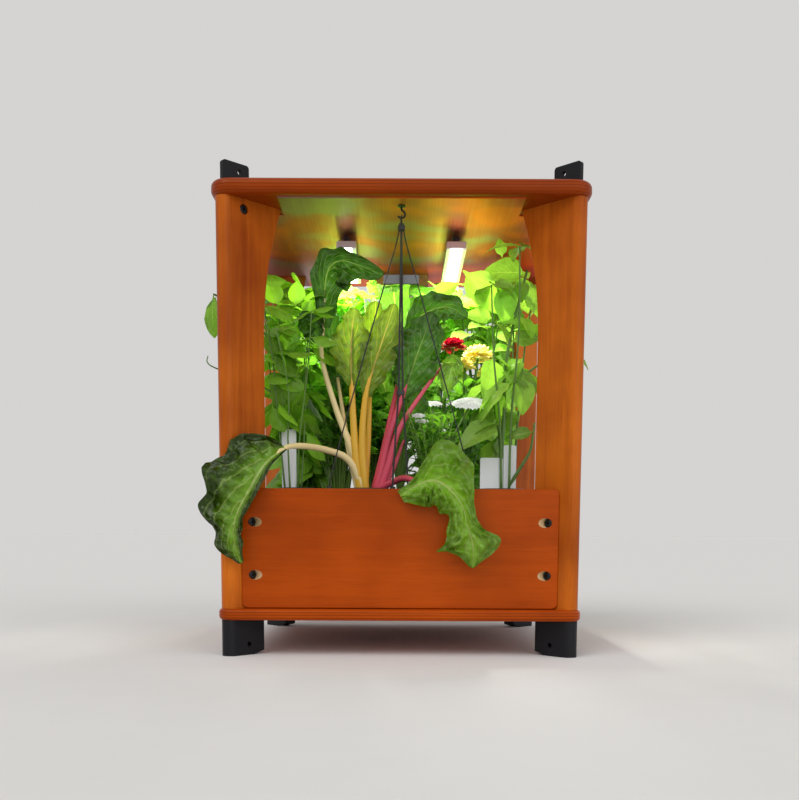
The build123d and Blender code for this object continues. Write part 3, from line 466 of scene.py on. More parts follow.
def plain_finish(name, colour, scale, spread, rough, bump, sockets=None):
    """A moulded, cast or rolled surface.

    scale counts its grains in a metre, spread is how far its tone drifts, rough is its least and most
    roughness, and sockets are other values of its shader."""
    finish, tree, shader = new_finish(name)
    speckle = node(tree, "Group", {"Color": rgba(colour), "Scale": scale, "Spread": spread,
                                   "Rough Low": rough[0], "Rough High": rough[1]},
                   node_tree=fine_speckle())
    feed(tree, shader, {
        "Base Color": speckle.outputs["Color"],
        "Roughness": speckle.outputs["Roughness"],
        "Normal": bumped(tree, speckle.outputs["Height"], bump, 0.0004),
        **(sockets or {}),
    })
    return finish


def leaf_finish(name, leaf, vein, count, rib, slant=0.9, mottle=0.5, bump=0.4, through=0.32, blister=0.0,
                glow=(1.9, 2.1, 0.9), gloss=1.0, coat=0.0):
    """A leaf that shines on top and lets light through, which takes the tint of its glow.

    count, rib and slant draw its veins, mottle and blister its surface between them. through is the share
    of light that it lets through, and gloss scales its roughness."""
    finish, tree, shader = new_finish(name)
    veins = node(tree, "Group", {"Leaf": rgba(leaf), "Vein": rgba(vein), "Count": count, "Rib": rib,
                                 "Slant": slant, "Mottle": mottle, "Blister": blister},
                 node_tree=leaf_veins())
    feed(tree, shader, {
        "Base Color": veins.outputs["Color"],
        "Roughness": Output(tree, veins.outputs["Shine"]) * gloss,
        "Normal": bumped(tree, veins.outputs["Height"], bump, 0.0009),
        "Specular IOR Level": 0.35,
        "Specular Tint": (0.8, 1.0, 0.6, 1.0),
        "Coat Weight": coat,
        "Coat Roughness": 0.10,
    })
    bright = mixed(tree, 1.0, veins.outputs["Color"], rgba(glow), "MULTIPLY")
    back = node(tree, "BsdfTranslucent", {"Color": bright})
    both = node(tree, "MixShader", {0: through, 1: shader.outputs[0], 2: back.outputs[0]})
    feed(tree, tree.get_output_node("ALL"), {"Surface": both.outputs[0]})
    return finish


def dress(finish, *names):
    """Give CAD nodes one finish."""
    for name in names:
        mesh = NODES[name].data
        mesh.materials.clear()
        mesh.materials.append(finish)


def dress_plain(*rows):
    """Give CAD nodes plain finishes. A row is a finish's name, its nodes and plain_finish's values."""
    for name, nodes, *look in rows:
        dress(plain_finish(name, *look), *nodes)


# Meshes of plants
def smooth(points, count):
    """A curve through points, as count of them evenly spread."""
    points = np.asarray(points, float)
    ends = np.vstack([2 * points[0] - points[1], points, 2 * points[-1] - points[-2]])
    spans = len(points) - 1
    place = np.linspace(0, spans, count)
    index = np.minimum(place.astype(int), spans - 1)
    t = (place - index)[:, None]
    a, b, c, d = (ends[index + step] for step in range(4))
    square, cube = 2 * a - 5 * b + 4 * c - d, 3 * b - a - 3 * c + d
    return 0.5 * (2 * b + (c - a) * t + square * t ** 2 + cube * t ** 3)


def unit(vectors):
    """Vectors of length one."""
    vectors = np.asarray(vectors, float)
    return vectors / np.maximum(np.linalg.norm(vectors, axis=-1, keepdims=True), 1e-9)


def spread_over(values, count):
    """Values spread evenly along count places."""
    return np.interp(np.linspace(0, 1, count), np.linspace(0, 1, len(values)), values)


def heading_of(turn):
    """The x and y of a turn."""
    return np.array((math.cos(turn), math.sin(turn)))


def grid_faces(rows, columns, first, closed=False):
    """The quads between rows and columns of points numbered from first, and those numbers."""
    index = first + np.arange(rows * columns).reshape(rows, columns)
    if closed:
        index = np.hstack([index, index[:, :1]])
    quads = np.stack([index[:-1, :-1], index[:-1, 1:], index[1:, 1:], index[1:, :-1]], -1)
    return quads.reshape(-1, 4), index


def leaf_map(across, along):
    """The map of a grid's points, from its columns across and its rows along."""
    return np.stack(np.broadcast_arrays(across[None, :], along[:, None]), -1).reshape(-1, 2)


def leaf_mesh(name, points, faces, maps):
    """A smooth mesh with a leaf map."""
    mesh = bpy.data.meshes.new(name)
    mesh.from_pydata(points.tolist(), [], faces)
    mesh.polygons.foreach_set("use_smooth", [True] * len(faces))
    corner = np.zeros(len(mesh.loops), int)
    mesh.loops.foreach_get("vertex_index", corner)
    mesh.uv_layers.new(name="UVMap").data.foreach_set("uv", np.vstack(maps)[corner].ravel())
    mesh.update()
    return mesh


def linked(name, data):
    """A new object in the scene."""
    made = bpy.data.objects.new(name, data)
    bpy.context.scene.collection.objects.link(made)
    return made


def planted(name, mesh, node_name):
    """Link a grown piece, let it ride with the garden and stand for its CAD node."""
    piece = linked(name, mesh)
    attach(piece, BODY)
    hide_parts(node_name)


class Sheaf:
    """The stems and broad leaves of one piece, in millimetres, with a leaf map and a tone."""

    def __init__(self):
        self.points, self.faces, self.maps, self.tones, self.slots = [], [], [], [], []
        self.count = 0

    def grid(self, points, across, along, tone, slot, closed=False):
        """A sheet of rows and columns of points. Returns their numbers."""
        rows, columns = points.shape[:2]
        quads, index = grid_faces(rows, columns, self.count, closed)
        self.points.append(points.reshape(-1, 3))
        self.maps.append(leaf_map(across, along))
        self.tones.append(np.broadcast_to(tone, (rows, columns)).ravel())
        self.faces.extend(quads.tolist())
        self.slots.extend([slot] * len(quads))
        self.count += rows * columns
        return index

    def tube(self, points, radii, tone, slot, sides, flat=1.0):
        """A stem through points, closed at its ends."""
        way = unit(np.gradient(points, axis=0))
        first = unit(np.cross(way, ASKEW))
        second = np.cross(way, first)
        angle = np.linspace(0, 2 * np.pi, sides, endpoint=False)
        ring = first[:, None] * np.cos(angle)[:, None] + flat * second[:, None] * np.sin(angle)[:, None]
        shape = points[:, None] + ring * np.asarray(radii)[:, None, None]
        index = self.grid(shape, angle / (2 * np.pi), np.linspace(0, 1, len(points)), tone, slot, True)
        self.faces.extend([index[0, :-1][::-1].tolist(), index[-1, :-1].tolist()])
        self.slots.extend([slot, slot])

    def piece(self, name, finishes, node_name, slot):
        """The finished piece, with one finish for each slot of its faces."""
        mesh = leaf_mesh(name, np.vstack(self.points) * MM, self.faces, self.maps)
        for finish in finishes:
            mesh.materials.append(finish)
        mesh.polygons.foreach_set("material_index", self.slots)
        mesh.attributes.new("tone", "FLOAT", "POINT").data.foreach_set("value", np.concatenate(self.tones))
        mesh.update()
        planted(name, mesh, node_name)


# Leaves to scatter
def template_object(name, grids):
    """A leaf to scatter, its top upwards, from grids with their maps across and along."""
    points, faces, maps, count = [], [], [], 0
    for grid, across, along in grids:
        quads, index = grid_faces(*grid.shape[:2], count)
        points.append(grid.reshape(-1, 3))
        faces.extend(quads[:, (0, 3, 2, 1)].tolist())
        maps.append(leaf_map(across, along))
        count += index.size
    return linked(name, leaf_mesh(name, np.vstack(points), faces, maps))


def leaf_template(name, width, blunt, fold, bend, ripple, rows=9, columns=5, stalk=0.12):
    """A leaf of length one along x.

    width is its half width and blunt draws its broadest place on to the tip. fold lifts its margins,
    ripple waves them and bend drops its tip."""
    along, across = np.linspace(0, 1, rows), np.linspace(-1, 1, columns)
    body = np.clip((along - stalk) / (1 - stalk), 0, 1)
    half = width * np.sin(np.pi * body ** blunt) ** 0.8 + 0.012 * (1 - along)
    s, t = np.meshgrid(along, across, indexing="ij")
    y = half[:, None] * t
    wave = ripple * np.sin(s * 21.0) * np.sign(t) * t ** 2
    z = fold * np.abs(y) - bend * s ** 2 + wave
    return template_object(name, [(np.stack([s, y, z], -1), (across + 1) / 2, along)])


def leaflet(length, width, origin, turn, lift):
    """One small diamond leaflet as a grid, from an origin along a turn."""
    along, across = np.linspace(0, 1, 3), np.linspace(-1, 1, 3)
    s, t = np.meshgrid(along, across, indexing="ij")
    half = width * np.array((0.18, 1.0, 0.22))
    x, y = s * length, half[:, None] * t
    cosine, sine = heading_of(turn)
    shape = np.stack([x * cosine - y * sine, x * sine + y * cosine, lift * s + 0.25 * np.abs(y)], -1)
    return np.array(origin) + shape, (across + 1) / 2, along


def frond_template(name):
    """A cut leaf of length one along x, made of leaflets."""
    parts = [leaflet(length=0.42, width=0.15, origin=(0.58, 0, 0.02), turn=0, lift=-0.08)]
    for start, size in ((0.62, 0.30), (0.42, 0.36), (0.22, 0.34)):
        for side in (-1, 1):
            turn = side * math.radians(52)
            parts.append(leaflet(size, width=0.12, origin=(start, 0, 0.0), turn=turn, lift=-0.05))
    return template_object(name, parts)


def floret_template(name):
    """A flower of four petals, of radius one, face upwards."""
    turns = np.arange(4) * math.pi / 2
    return template_object(name, [
        leaflet(length=1.0, width=0.42, origin=(*0.08 * heading_of(turn), 0.0), turn=turn, lift=0.12)
        for turn in turns])


def scatter_tree():
    """Geometry nodes: one leaf on each point, turned by aim and sized by span."""
    name = "Leaf Scatter"
    if name in bpy.data.node_groups:
        return bpy.data.node_groups[name]
    tree, given, end = new_group(
        name, {"Points": "Geometry", "Leaf": "Object", "Finish": "Material", "Size": "Float"},
        {"Geometry": "Geometry"}, "GeometryNodeTree")

    def step(kind, inputs, **settings):
        """One geometry node."""
        return node(tree, kind, inputs, "GeometryNode", **settings)

    def carried(label):
        """A vector that each point carries."""
        made = step("InputNamedAttribute", {"Name": label}, data_type="FLOAT_VECTOR")
        return next(socket for socket in made.outputs if socket.enabled and socket.name == "Attribute")

    leaf = step("ObjectInfo", {"Object": given["Leaf"]})
    turn = node(tree, "EulerToRotation", {0: carried("aim")}, "FunctionNode")
    size = node(tree, "VectorMath", {0: carried("span"), "Scale": given["Size"]}, operation="SCALE")
    points = step("MeshToPoints", {"Mesh": given["Points"]})
    placed = step("InstanceOnPoints", {"Points": points.outputs[0], "Instance": leaf.outputs["Geometry"],
                                       "Rotation": turn.outputs[0], "Scale": size.outputs[0]})
    real = step("RealizeInstances", {0: placed.outputs[0]})
    painted = step("SetMaterial", {"Geometry": real.outputs[0], "Material": given["Finish"]})
    feed(tree, end, {0: painted.outputs[0]})
    return tree


def roll_to(heading, pitch, facing=(0.0, -1.0, 0.35)):
    """The roll that turns a leaf's top to a facing."""
    way = (*math.cos(pitch) * heading_of(heading), math.sin(pitch))
    side = (-math.sin(heading), math.cos(heading), 0.0)
    return math.atan2(-np.dot(facing, side), np.dot(facing, np.cross(way, side)))


class Leaves:
    """Places, turns, sizes and tones of the leaves of one piece, in millimetres and radians."""

    def __init__(self):
        self.places, self.aims, self.spans, self.tones = [], [], [], []

    def put(self, place, heading, pitch, roll, length, tone, broad=1.0):
        """One leaf at a place. heading turns about z, pitch lifts its tip."""
        self.places.append(place)
        self.aims.append((roll, -pitch, heading))
        self.spans.append((length, length * broad, length))
        self.tones.append(tone)

    def reach(self, base, tip, tone, broad):
        """One leaf from a base to a tip, its top turned to the front."""
        span = np.subtract(tip, base)
        length = np.linalg.norm(span)
        heading, pitch = math.atan2(span[1], span[0]), math.asin(span[2] / length)
        self.put(base, heading, pitch, roll_to(heading, pitch), length, tone, broad)

    def piece(self, name, template, finish, node_name, slot):
        """The scattered leaves as one plain mesh."""
        mesh = bpy.data.meshes.new(name + "_points")
        mesh.from_pydata((np.array(self.places) * MM).tolist(), [], [])
        for label, kind, field, values in (("aim", "FLOAT_VECTOR", "vector", self.aims),
                                           ("span", "FLOAT_VECTOR", "vector", self.spans),
                                           ("tone", "FLOAT", "value", self.tones)):
            data = mesh.attributes.new(label, kind, "POINT").data
            data.foreach_set(field, np.array(values, float).ravel())
        source = linked(name + "_points", mesh)
        modifier = source.modifiers.new("Leaves", "NODES")
        modifier.node_group = scatter_tree()
        sockets = {socket.name: socket.identifier for socket in modifier.node_group.interface.items_tree
                   if socket.in_out == "INPUT"}
        for label, value in (("Leaf", template), ("Finish", finish), ("Size", MM)):
            modifier[sockets[label]] = value
        graph = bpy.context.evaluated_depsgraph_get()
        made = bpy.data.meshes.new_from_object(source.evaluated_get(graph), depsgraph=graph)
        made.name = name
        bpy.data.objects.remove(source)
        planted(name, made, node_name)


def remove(*templates):
    """Take the scattering templates out of the scene."""
    for template in templates:
        bpy.data.objects.remove(template)


# Growth
def within(tip):
    """True where a leaf's tip is clear of posts and lamps, and leaves open what the front shows."""
    x, y, z = tip
    under_lamp = abs(abs(x) - LAMP_ASIDE) < LAMP_ROOM and abs(y) < LAMP_REACH
    roof = LAMP_ROOF if under_lamp else ROOF
    inside = (abs(x) + abs(y) < POST_LIMIT and abs(x) < SIDE_LIMIT and FRONT_LIMIT < y < SIDE_LIMIT
              and PLUG_TOP + PLUG_GAP < z < roof)
    hides = any(all(low < value < high for low, value, high in zip(first, tip, last))
                for first, last in KEPT_CLEAR)
    share = (OPENING_Y - EYE_Y) / (y - EYE_Y)
    level = EYE_Z + (z - EYE_Z) * share
    in_opening = (OPENING_LEFT < x * share < OPENING_RIGHT
                  and any(low < level < high for low, high in OPENING_LEVELS))
    return inside and not hides and not in_opening


def puckers(rng, rows, columns, step):
    """Smooth random heights over a grid, one every few points."""
    heights = rng.normal(0, 0.6, (rows // step + 2, columns // step + 2))
    for count in (rows, columns):
        place = np.linspace(0, len(heights) - 1, count)
        low = np.minimum(place.astype(int), len(heights) - 2)
        t = (place - low)[:, None]
        t = t * t * (3 - 2 * t)
        heights = (heights[low] * (1 - t) + heights[low + 1] * t).T
    return heights


def half_widths(widths, rows):
    """A leaf's half widths along its rib, eased from one to the next and drawn in at the tip."""
    eased = np.convolve(np.pad(spread_over(widths, rows), 2, mode="edge"), np.ones(5) / 5, "valid")
    eased[-1] = widths[-1] * 0.3
    return eased


def hung_clear(shape):
    """Keep a leaf that hangs over the front before the apron and the left post, and not far out."""
    x, y, z = np.moveaxis(shape, -1, 0)
    by_post = x < POST_EDGE
    wood = np.where(by_post, POST_NOSE, APRON_LOW[1])
    top = np.where(by_post, POST_TOP, APRON_HIGH[2] + HANG_OVER)
    hangs = (y < HANG_RIM) & (z < top)
    shape[..., 1] = np.maximum(np.where(hangs, np.minimum(y, wood - HANG_GAP), y), HANG_LIMIT)


class Plant:
    """One plant's stems, leaves and flower heads, grown by one generator of random numbers."""

    def __init__(self, rng):
        self.rng = rng
        self.sheaf = Sheaf()
        self.leaves = Leaves()
        self.heads = Leaves()

    def stem(self, points, radii, tone, sides=6, count=12, slot=0):
        """A stem through points, thinned evenly from one radius to the other. Returns its line."""
        line = smooth(points, count)
        self.sheaf.tube(line, np.linspace(*radii, count), tone, slot, sides)
        return line

    def stalk(self, points, radii, slot):
        """A stout, flattened stem through points, with radii along it."""
        count = 24
        self.sheaf.tube(smooth(points, count), spread_over(radii, count), tone=0.6, slot=slot, sides=10,
                        flat=0.8)

    def rising(self, pot, heading, start, lean, height, sway):
        """Points of a stem that starts off a pot's middle, leans further out and sways as it rises."""
        points = []
        for share in (0.0, 0.33, 0.66, 1.0):
            x, y = np.array(pot) + (start + lean * share ** 1.4) * heading_of(heading)
            points.append((x + sway * self.rng.normal() * share, y + sway * self.rng.normal() * share,
                           STEM_FOOT + height * share))
        return points

    def fan(self, pot, stems, height, spread, length, first, step, pitch, broad, thick, least=0.72):
        """Stems that fan out of a pot, with leaves in opposite pairs and a tuft at the top.

        first is where up a stem the leaves start, as a share, step is how far apart the pairs are and
        least is the shortest stem's share of the height. pitch lifts the leaves, broad widens them and
        thick is a stem's radius at its foot."""
        rng = self.rng
        for stem in range(stems):
            heading = 2 * math.pi * (stem + rng.uniform(-0.25, 0.25)) / stems
            tall = height * rng.uniform(least, 1.0)
            lean = spread * rng.uniform(0.4, 1.0)
            points = self.rising(pot, heading, start=9, lean=lean, height=tall, sway=3.0)
            line = self.stem(points, (thick, thick * 0.5), rng.uniform(0.3, 0.7))
            pairs = max(2, int(tall * (1 - first) / step))
            for pair in range(pairs + 1):
                share = first + (1 - first) * pair / pairs
                spot = share * (len(line) - 1)
                low = min(int(spot), len(line) - 2)
                place = line[low] + (line[low + 1] - line[low]) * (spot - low)
                count, shrink = (4, 0.75) if pair == pairs else (2, 1.0)
                for side in range(count):
                    turn = heading + pair * PAIR_TURN + side * 2 * math.pi / count + rng.normal(0, 0.25)
                    size = length * rng.uniform(0.7, 1.08) * shrink
                    lift = pitch + 1.5 * max(0.0, share - 0.5) + rng.normal(0, 0.2)
                    self.fitted(place, turn, lift, size, broad)

    def fitted(self, place, turn, lift, size, broad):
        """One leaf, turned on and made smaller until it has room, or else left out."""
        for _ in range(FIT_TRIES):
            reach = size * np.array((*math.cos(lift) * heading_of(turn), math.sin(lift)))
            if within(place + reach) and within(place + 0.55 * reach):
                roll = 0.4 * max(-1.3, min(1.3, roll_to(turn, lift))) + self.rng.normal(0, 0.25)
                self.leaves.put(place, turn, lift, roll, size, self.rng.uniform(0.15, 1.0), broad)
                return
            turn += FIT_TURN
            size *= FIT_SIZE

    def shoots(self, pot, tops, length, broad):
        """Tall shoots from a pot to tops under the roof, with leaves that stand up at the top."""
        rng = self.rng
        for x, y, z in tops:
            bend = (0.6 * pot[0] + 0.4 * x, 0.6 * pot[1] + 0.4 * y, SHOOT_BEND)
            points = [(*pot, STEM_FOOT), bend, (x, y, z)]
            line = self.stem(points, (1.6, 0.8), rng.uniform(0.3, 0.7), sides=5, count=16)
            for step in range(SHOOT_LEAVES):
                base = line[-1 - step]
                aside = (1 if step % 2 else -1) * rng.uniform(0.35, 0.9) * length
                rise = rng.uniform(0.3, 0.7) * length if step < 3 else rng.uniform(-0.5, 0.3) * length
                tip = base + (aside, rng.uniform(-0.3, 0.1) * length, rise)
                if within(tip - (0, 0, 2)):
                    self.leaves.reach(base, tip, rng.uniform(0.3, 1.0), broad)

    def blade(self, rib, left, right, slot, tone, facing=FRONT, ruffle=4.5, cup=0.12, blister=2.2,
              rows=46, columns=25, ragged=0.12):
        """A broad crinkled leaf along a rib, waved at its margins and blistered between its veins.

        left and right are its half widths along the rib, right being cross(facing, way). tone is its
        tone at the rib and at the margin; the margin's lower tone is painted shade, where the leaf turns
        down from the light. ruffle and blister are heights, cup lifts its margins by a share of its width,
        and ragged is how uneven its outline is."""
        rng = self.rng
        line = smooth(rib, rows)
        s, t = np.linspace(0, 1, rows), np.linspace(-1, 1, columns)
        halves = [half_widths(widths, rows) for widths in (left, right)]
        way = unit(np.gradient(line, axis=0))
        side = unit(np.cross(facing, way))
        lift = np.cross(way, side)
        phase = rng.uniform(0, 6.28, 8)
        coarse, fine = puckers(rng, rows, columns, 4), puckers(rng, rows, columns, 2)
        margin = puckers(rng, rows, 2, rows // 12)
        shape = np.zeros((rows, columns, 3))
        for column, across in enumerate(t):
            hand, edge = int(across > 0), abs(across)
            half = halves[hand]
            full = np.clip(half / BROAD_HALF, 0, 1.3)
            lobes = 1 + edge * (0.07 * np.sin(LOBES * s + phase[hand]) + ragged * margin[:, hand])
            wave = edge ** 2.2 * np.sin(WAVES * s + phase[4 + hand] + 1.2 * across)
            wave += 0.5 * edge ** 2 * np.sin(RIPPLES * s + phase[6 + hand])
            swell = np.abs(np.sin((SIDE_VEINS * s - VEIN_SLANT * edge) * np.pi + phase[hand]))
            swell *= np.sin(np.pi * min(edge * 1.1, 1.0))
            swell += (1.1 * coarse[:, column] + 0.7 * fine[:, column]) * min(1.0, 3 * edge)
            height = cup * half * edge ** 1.3 + (ruffle * wave + blister * swell) * full
            shape[:, column] = line + side * (half * across * lobes)[:, None] + lift * height[:, None]
        hung_clear(shape)
        # The tone falls from the rib to the margin: painted shade on the leaf's outer part.
        self.sheaf.grid(shape, (t + 1) / 2, s, np.interp(np.abs(t), (0.15, 0.7), tone), slot)

    def rosette(self, centre, radius):
        """A head of petals in rings from the centre out, each ring flatter than the one inside it."""
        rng = self.rng
        rings = 7
        for ring in range(rings):
            share = ring / (rings - 1)
            petals = 5 + int(8 * share)
            length = radius * (0.55 + 0.45 * share)
            for petal in range(petals):
                turn = 2 * math.pi * (petal + 0.5 * (ring % 2)) / petals + rng.normal(0, 0.08)
                pitch = math.radians(78 - 72 * share) + rng.normal(0, 0.08)
                place = np.add(centre, (*radius * 0.10 * heading_of(turn), radius * 0.25 * (1 - share)))
                self.heads.put(place, turn, pitch, rng.normal(0, 0.15), length, rng.uniform(0.5, 1.0))

    def umbel(self, centre, radius, count):
        """A flat head of small flowers, tilted to the front."""
        rng = self.rng
        for flower in range(count):
            turn = flower * GOLDEN_TURN
            reach = radius * math.sqrt((flower + 0.5) / count)
            rise = 4.0 - 0.012 * reach ** 2 + 0.34 * reach * math.sin(turn)
            pitch = math.atan(0.6 * math.sin(turn)) - 0.02 * reach
            roll = roll_to(turn, pitch, (0.0, -0.6, 1.0))
            place = np.add(centre, (*reach * heading_of(turn), rise))
            self.heads.put(place, turn, pitch, roll, rng.uniform(3.3, 4.4), rng.uniform(0.25, 0.6))


def row_of_tops(count, left, back, deep, high):
    """Tops of a row of shoots from the left, staggered in depth and height."""
    return [(left + 13 * shoot, back + deep * (shoot % 3), high + 8 * (shoot % 2)) for shoot in range(count)]


def grown(context):
    """The plants' values and a fresh generator of random numbers for one operator."""
    props = context.scene.garden_plants
    return props, np.random.default_rng(props.seed)


# Pieces
class GARDEN_OT_wood(bpy.types.Operator):
    """Stain the boards, posts and aprons, and leave the bolt holes raw"""

    bl_idname = "garden.wood"
    bl_label = "Stained plywood"

    def execute(self, context):
        props = context.scene.garden_wood
        along_x, along_y, along_z = (0, 0, 0), (0, 0, math.radians(90)), (0, math.radians(90), 0)
        # The top board's stain carries painted shade.
        for board, stain, light in (("top_board", "stained_top", props.top),
                                    ("base_board", "stained_base", props.light)):
            dress(wood_finish(stain, props, along_x, light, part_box(board)[0].z), board)
        dress(wood_finish("stained_across", props, along_x, props.light), "apron_front", "apron_back")
        dress(wood_finish("stained_deep", props, along_y, props.light), "apron_left", "apron_right")
        # The posts' stain carries painted light.
        dress(wood_finish("stained_tall", props, along_z, props.post), *("post_" + name for name in CORNERS))
        dress_plain(("dowel_beech", ["dowels"], props.raw, 400.0, 0.3, (0.55, 0.7), 0.2))
        raw = plain_finish("raw_bore", props.raw, 500.0, 0.4, (0.6, 0.8), 0.3)
        for quarter, side in enumerate(("front", "right", "back", "left")):
            self.bare_bores(NODES["apron_" + side].data, raw, quarter)
        return {"FINISHED"}

    def bare_bores(self, mesh, raw, quarter):
        """Give an apron's slanted bolt holes the raw finish. quarter counts its turns from the front."""
        mesh.materials.append(raw)
        centre = np.zeros(len(mesh.polygons) * 3)
        mesh.polygons.foreach_get("center", centre)
        x, y, z = centre.reshape(-1, 3).T / MM
        for _ in range(quarter):
            x, y = y, -x
        aside, ahead = np.abs(x) - SEAT_X, y - SEAT_Y
        out = -(aside + ahead) * math.sqrt(0.5)
        middle = (APRON_LOW[2] + APRON_HIGH[2]) / 2
        away = np.hypot((aside - ahead) * math.sqrt(0.5), np.abs(z - middle) - BORE_SPACING / 2)
        bare = (away < BORE_RADIUS) & (out > BORE_START) & (out < BORE_END)
        mesh.polygons.foreach_set("material_index", bare.astype(int))


class GARDEN_OT_hardware(bpy.types.Operator):
    """Finish the brackets, feet, bolts, screws and inserts"""

    bl_idname = "garden.hardware"
    bl_label = "Brackets, feet and fasteners"

    def execute(self, context):
        dress_plain(
            ("black_nylon", [kind + corner for kind in ("bracket_", "foot_") for corner in CORNERS],
             (0.007, 0.007, 0.009), 1400.0, 0.3, (0.38, 0.52), 0.25, {"Specular IOR Level": 0.2}),
            ("black_oxide", ["apron_bolts", "bracket_bolts", "ceiling_hook"],
             (0.02, 0.02, 0.021), 900.0, 0.3, (0.28, 0.42), 0.1, {"Metallic": 0.7}),
            ("zinc_plate", ["foot_screws"], (0.60, 0.61, 0.63), 700.0, 0.2, (0.25, 0.4), 0.1, METAL),
            ("turned_brass", ["apron_inserts"], (0.72, 0.50, 0.20), 700.0, 0.2, (0.25, 0.4), 0.1, METAL))
        return {"FINISHED"}


class GARDEN_OT_ceiling(bpy.types.Operator):
    """Finish the reflector, the light bars and the driver, and light the bars"""

    bl_idname = "garden.ceiling"
    bl_label = "Reflector and lamps"

    def execute(self, context):
        props = context.scene.garden_lamps
        dress(self.satin(), "reflector")
        dress_plain(
            ("satin_case", ["driver_box"], (0.40, 0.33, 0.22), 900.0, 0.15, (0.30, 0.42), 0.1, METAL),
            ("anodised_bar", ["led_housing_left", "led_housing_right"],
             (0.62, 0.63, 0.65), 900.0, 0.1, (0.3, 0.4), 0.08, METAL),
            ("white_board", ["led_strip_left", "led_strip_right"],
             (0.86, 0.86, 0.84), 700.0, 0.1, (0.4, 0.5), 0.05),
            ("driver_black", ["led_standoffs", "power_jack"],
             (0.02, 0.02, 0.022), 1200.0, 0.3, (0.4, 0.55), 0.25),
            ("circuit_green", ["driver_board"], (0.02, 0.14, 0.05), 500.0, 0.3, (0.3, 0.45), 0.1),
            ("button_grey", ["light_button"], (0.22, 0.23, 0.23), 900.0, 0.15, (0.35, 0.5), 0.15))
        dress(self.lit(props), "led_diffuser_left", "led_diffuser_right")
        for side in ("left", "right"):
            self.throw(props, side)
        return {"FINISHED"}

    def throw(self, props, side):
        """The light that one bar throws down."""
        low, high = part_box("led_diffuser_" + side)
        width, length, _ = high - low
        lamp = bpy.data.lights.new("bar_" + side, "AREA")
        lamp.shape = "RECTANGLE"
        lamp.size, lamp.size_y = width * 0.8, length * 0.95
        lamp.energy = props.power
        lamp.color = props.colour
        thrower = linked("bar_" + side, lamp)
        thrower.location = ((low.x + high.x) / 2, (low.y + high.y) / 2, low.z - 0.5 * MM)
        thrower.visible_camera = False
        thrower.visible_glossy = False

    def satin(self):
        """Satin metal brushed from front to back, its colour a painted reflection of the wood and plants
        that turns from rose to amber to the right.
        """
        finish, tree, shader = new_finish("satin_with_painted_reflection")
        # Painted reflection: the rose, copper and amber tints stand in for the wood and plants that the
        # sheet reflects.
        rose, copper, amber = (0.42, 0.21, 0.20), (0.60, 0.10, 0.05), (1.0, 0.17, 0.004)
        where = place_on(tree)
        brush = noise(tree, stretched(tree, where, (900, 8, 900)), 1.0, 3.0)
        lean = split(tree, where)[0] * 0.7 + noise(tree, where, 9.0)
        colour = mixed(tree, lean.ranged(0.38, 0.48), rgba(rose), rgba(copper))
        feed(tree, shader, {
            "Base Color": mixed(tree, lean.ranged(0.50, 0.62), colour, rgba(amber)),
            "Roughness": brush.ranged(0.3, 0.7, 0.38, 0.50),
            "Normal": bumped(tree, brush, 0.05, 0.0002),
            "Metallic": 1.0,
        })
        return finish

    def lit(self, props):
        """Opal plastic that glows along its middle, brighter over each chip."""
        finish, tree, shader = new_finish("lit_opal")
        x, y, _ = split(tree, place_on(tree))
        phase = ((y - LAMP_MIDDLE * MM) / (CHIP_STEP * MM)).step("FRACT")
        chip = phase.away(0.5).ranged(0.1, 0.5, 1.0, 0.72)
        core = x.step("ABSOLUTE").away(LAMP_ASIDE * MM).ranged(0.0035, 0.0075, 1.0, 0.03)
        feed(tree, shader, {
            "Emission Color": mixed(tree, 1.0, rgba(props.colour), (chip * core).grey(), "MULTIPLY"),
            "Emission Strength": props.glow,
            "Base Color": (0.9, 0.9, 0.9, 1.0),
            "Roughness": 0.35,
        })
        return finish


class GARDEN_OT_water(bpy.types.Operator):
    """Finish the tub, deck, pots, plugs, labels and pump"""

    bl_idname = "garden.water"
    bl_label = "Tub, pots and pump"

    def execute(self, context):
        dress_plain(
            ("moulded_black", ["reservoir_tub", "grow_deck", "net_pots", "cord_anchors"],
             (0.018, 0.018, 0.018), 700.0, 0.4, (0.35, 0.55), 0.2),
            ("grow_sponge", ["grow_plugs"], (0.085, 0.050, 0.028), 420.0, 0.8, (0.85, 0.95), 1.0),
            ("label_white", ["plant_labels"], (0.80, 0.82, 0.84), 300.0, 0.06, (0.4, 0.5), 0.05),
            ("pump_dark", ["pump_body", "pump_cover"], (0.035, 0.042, 0.055), 800.0, 0.3, (0.4, 0.5), 0.2),
            ("impeller_white", ["pump_impeller"], (0.78, 0.79, 0.8), 600.0, 0.1, (0.25, 0.35), 0.1),
            ("hose_black", ["riser_tube"], (0.03, 0.03, 0.032), 500.0, 0.3, (0.45, 0.6), 0.2),
            ("spreader_grey", ["spreader_bar"], (0.13, 0.14, 0.14), 900.0, 0.2, (0.4, 0.5), 0.15),
            ("tie_black", ["cord_ties"], (0.014, 0.014, 0.015), 900.0, 0.2, (0.45, 0.6), 0.2))
        return {"FINISHED"}


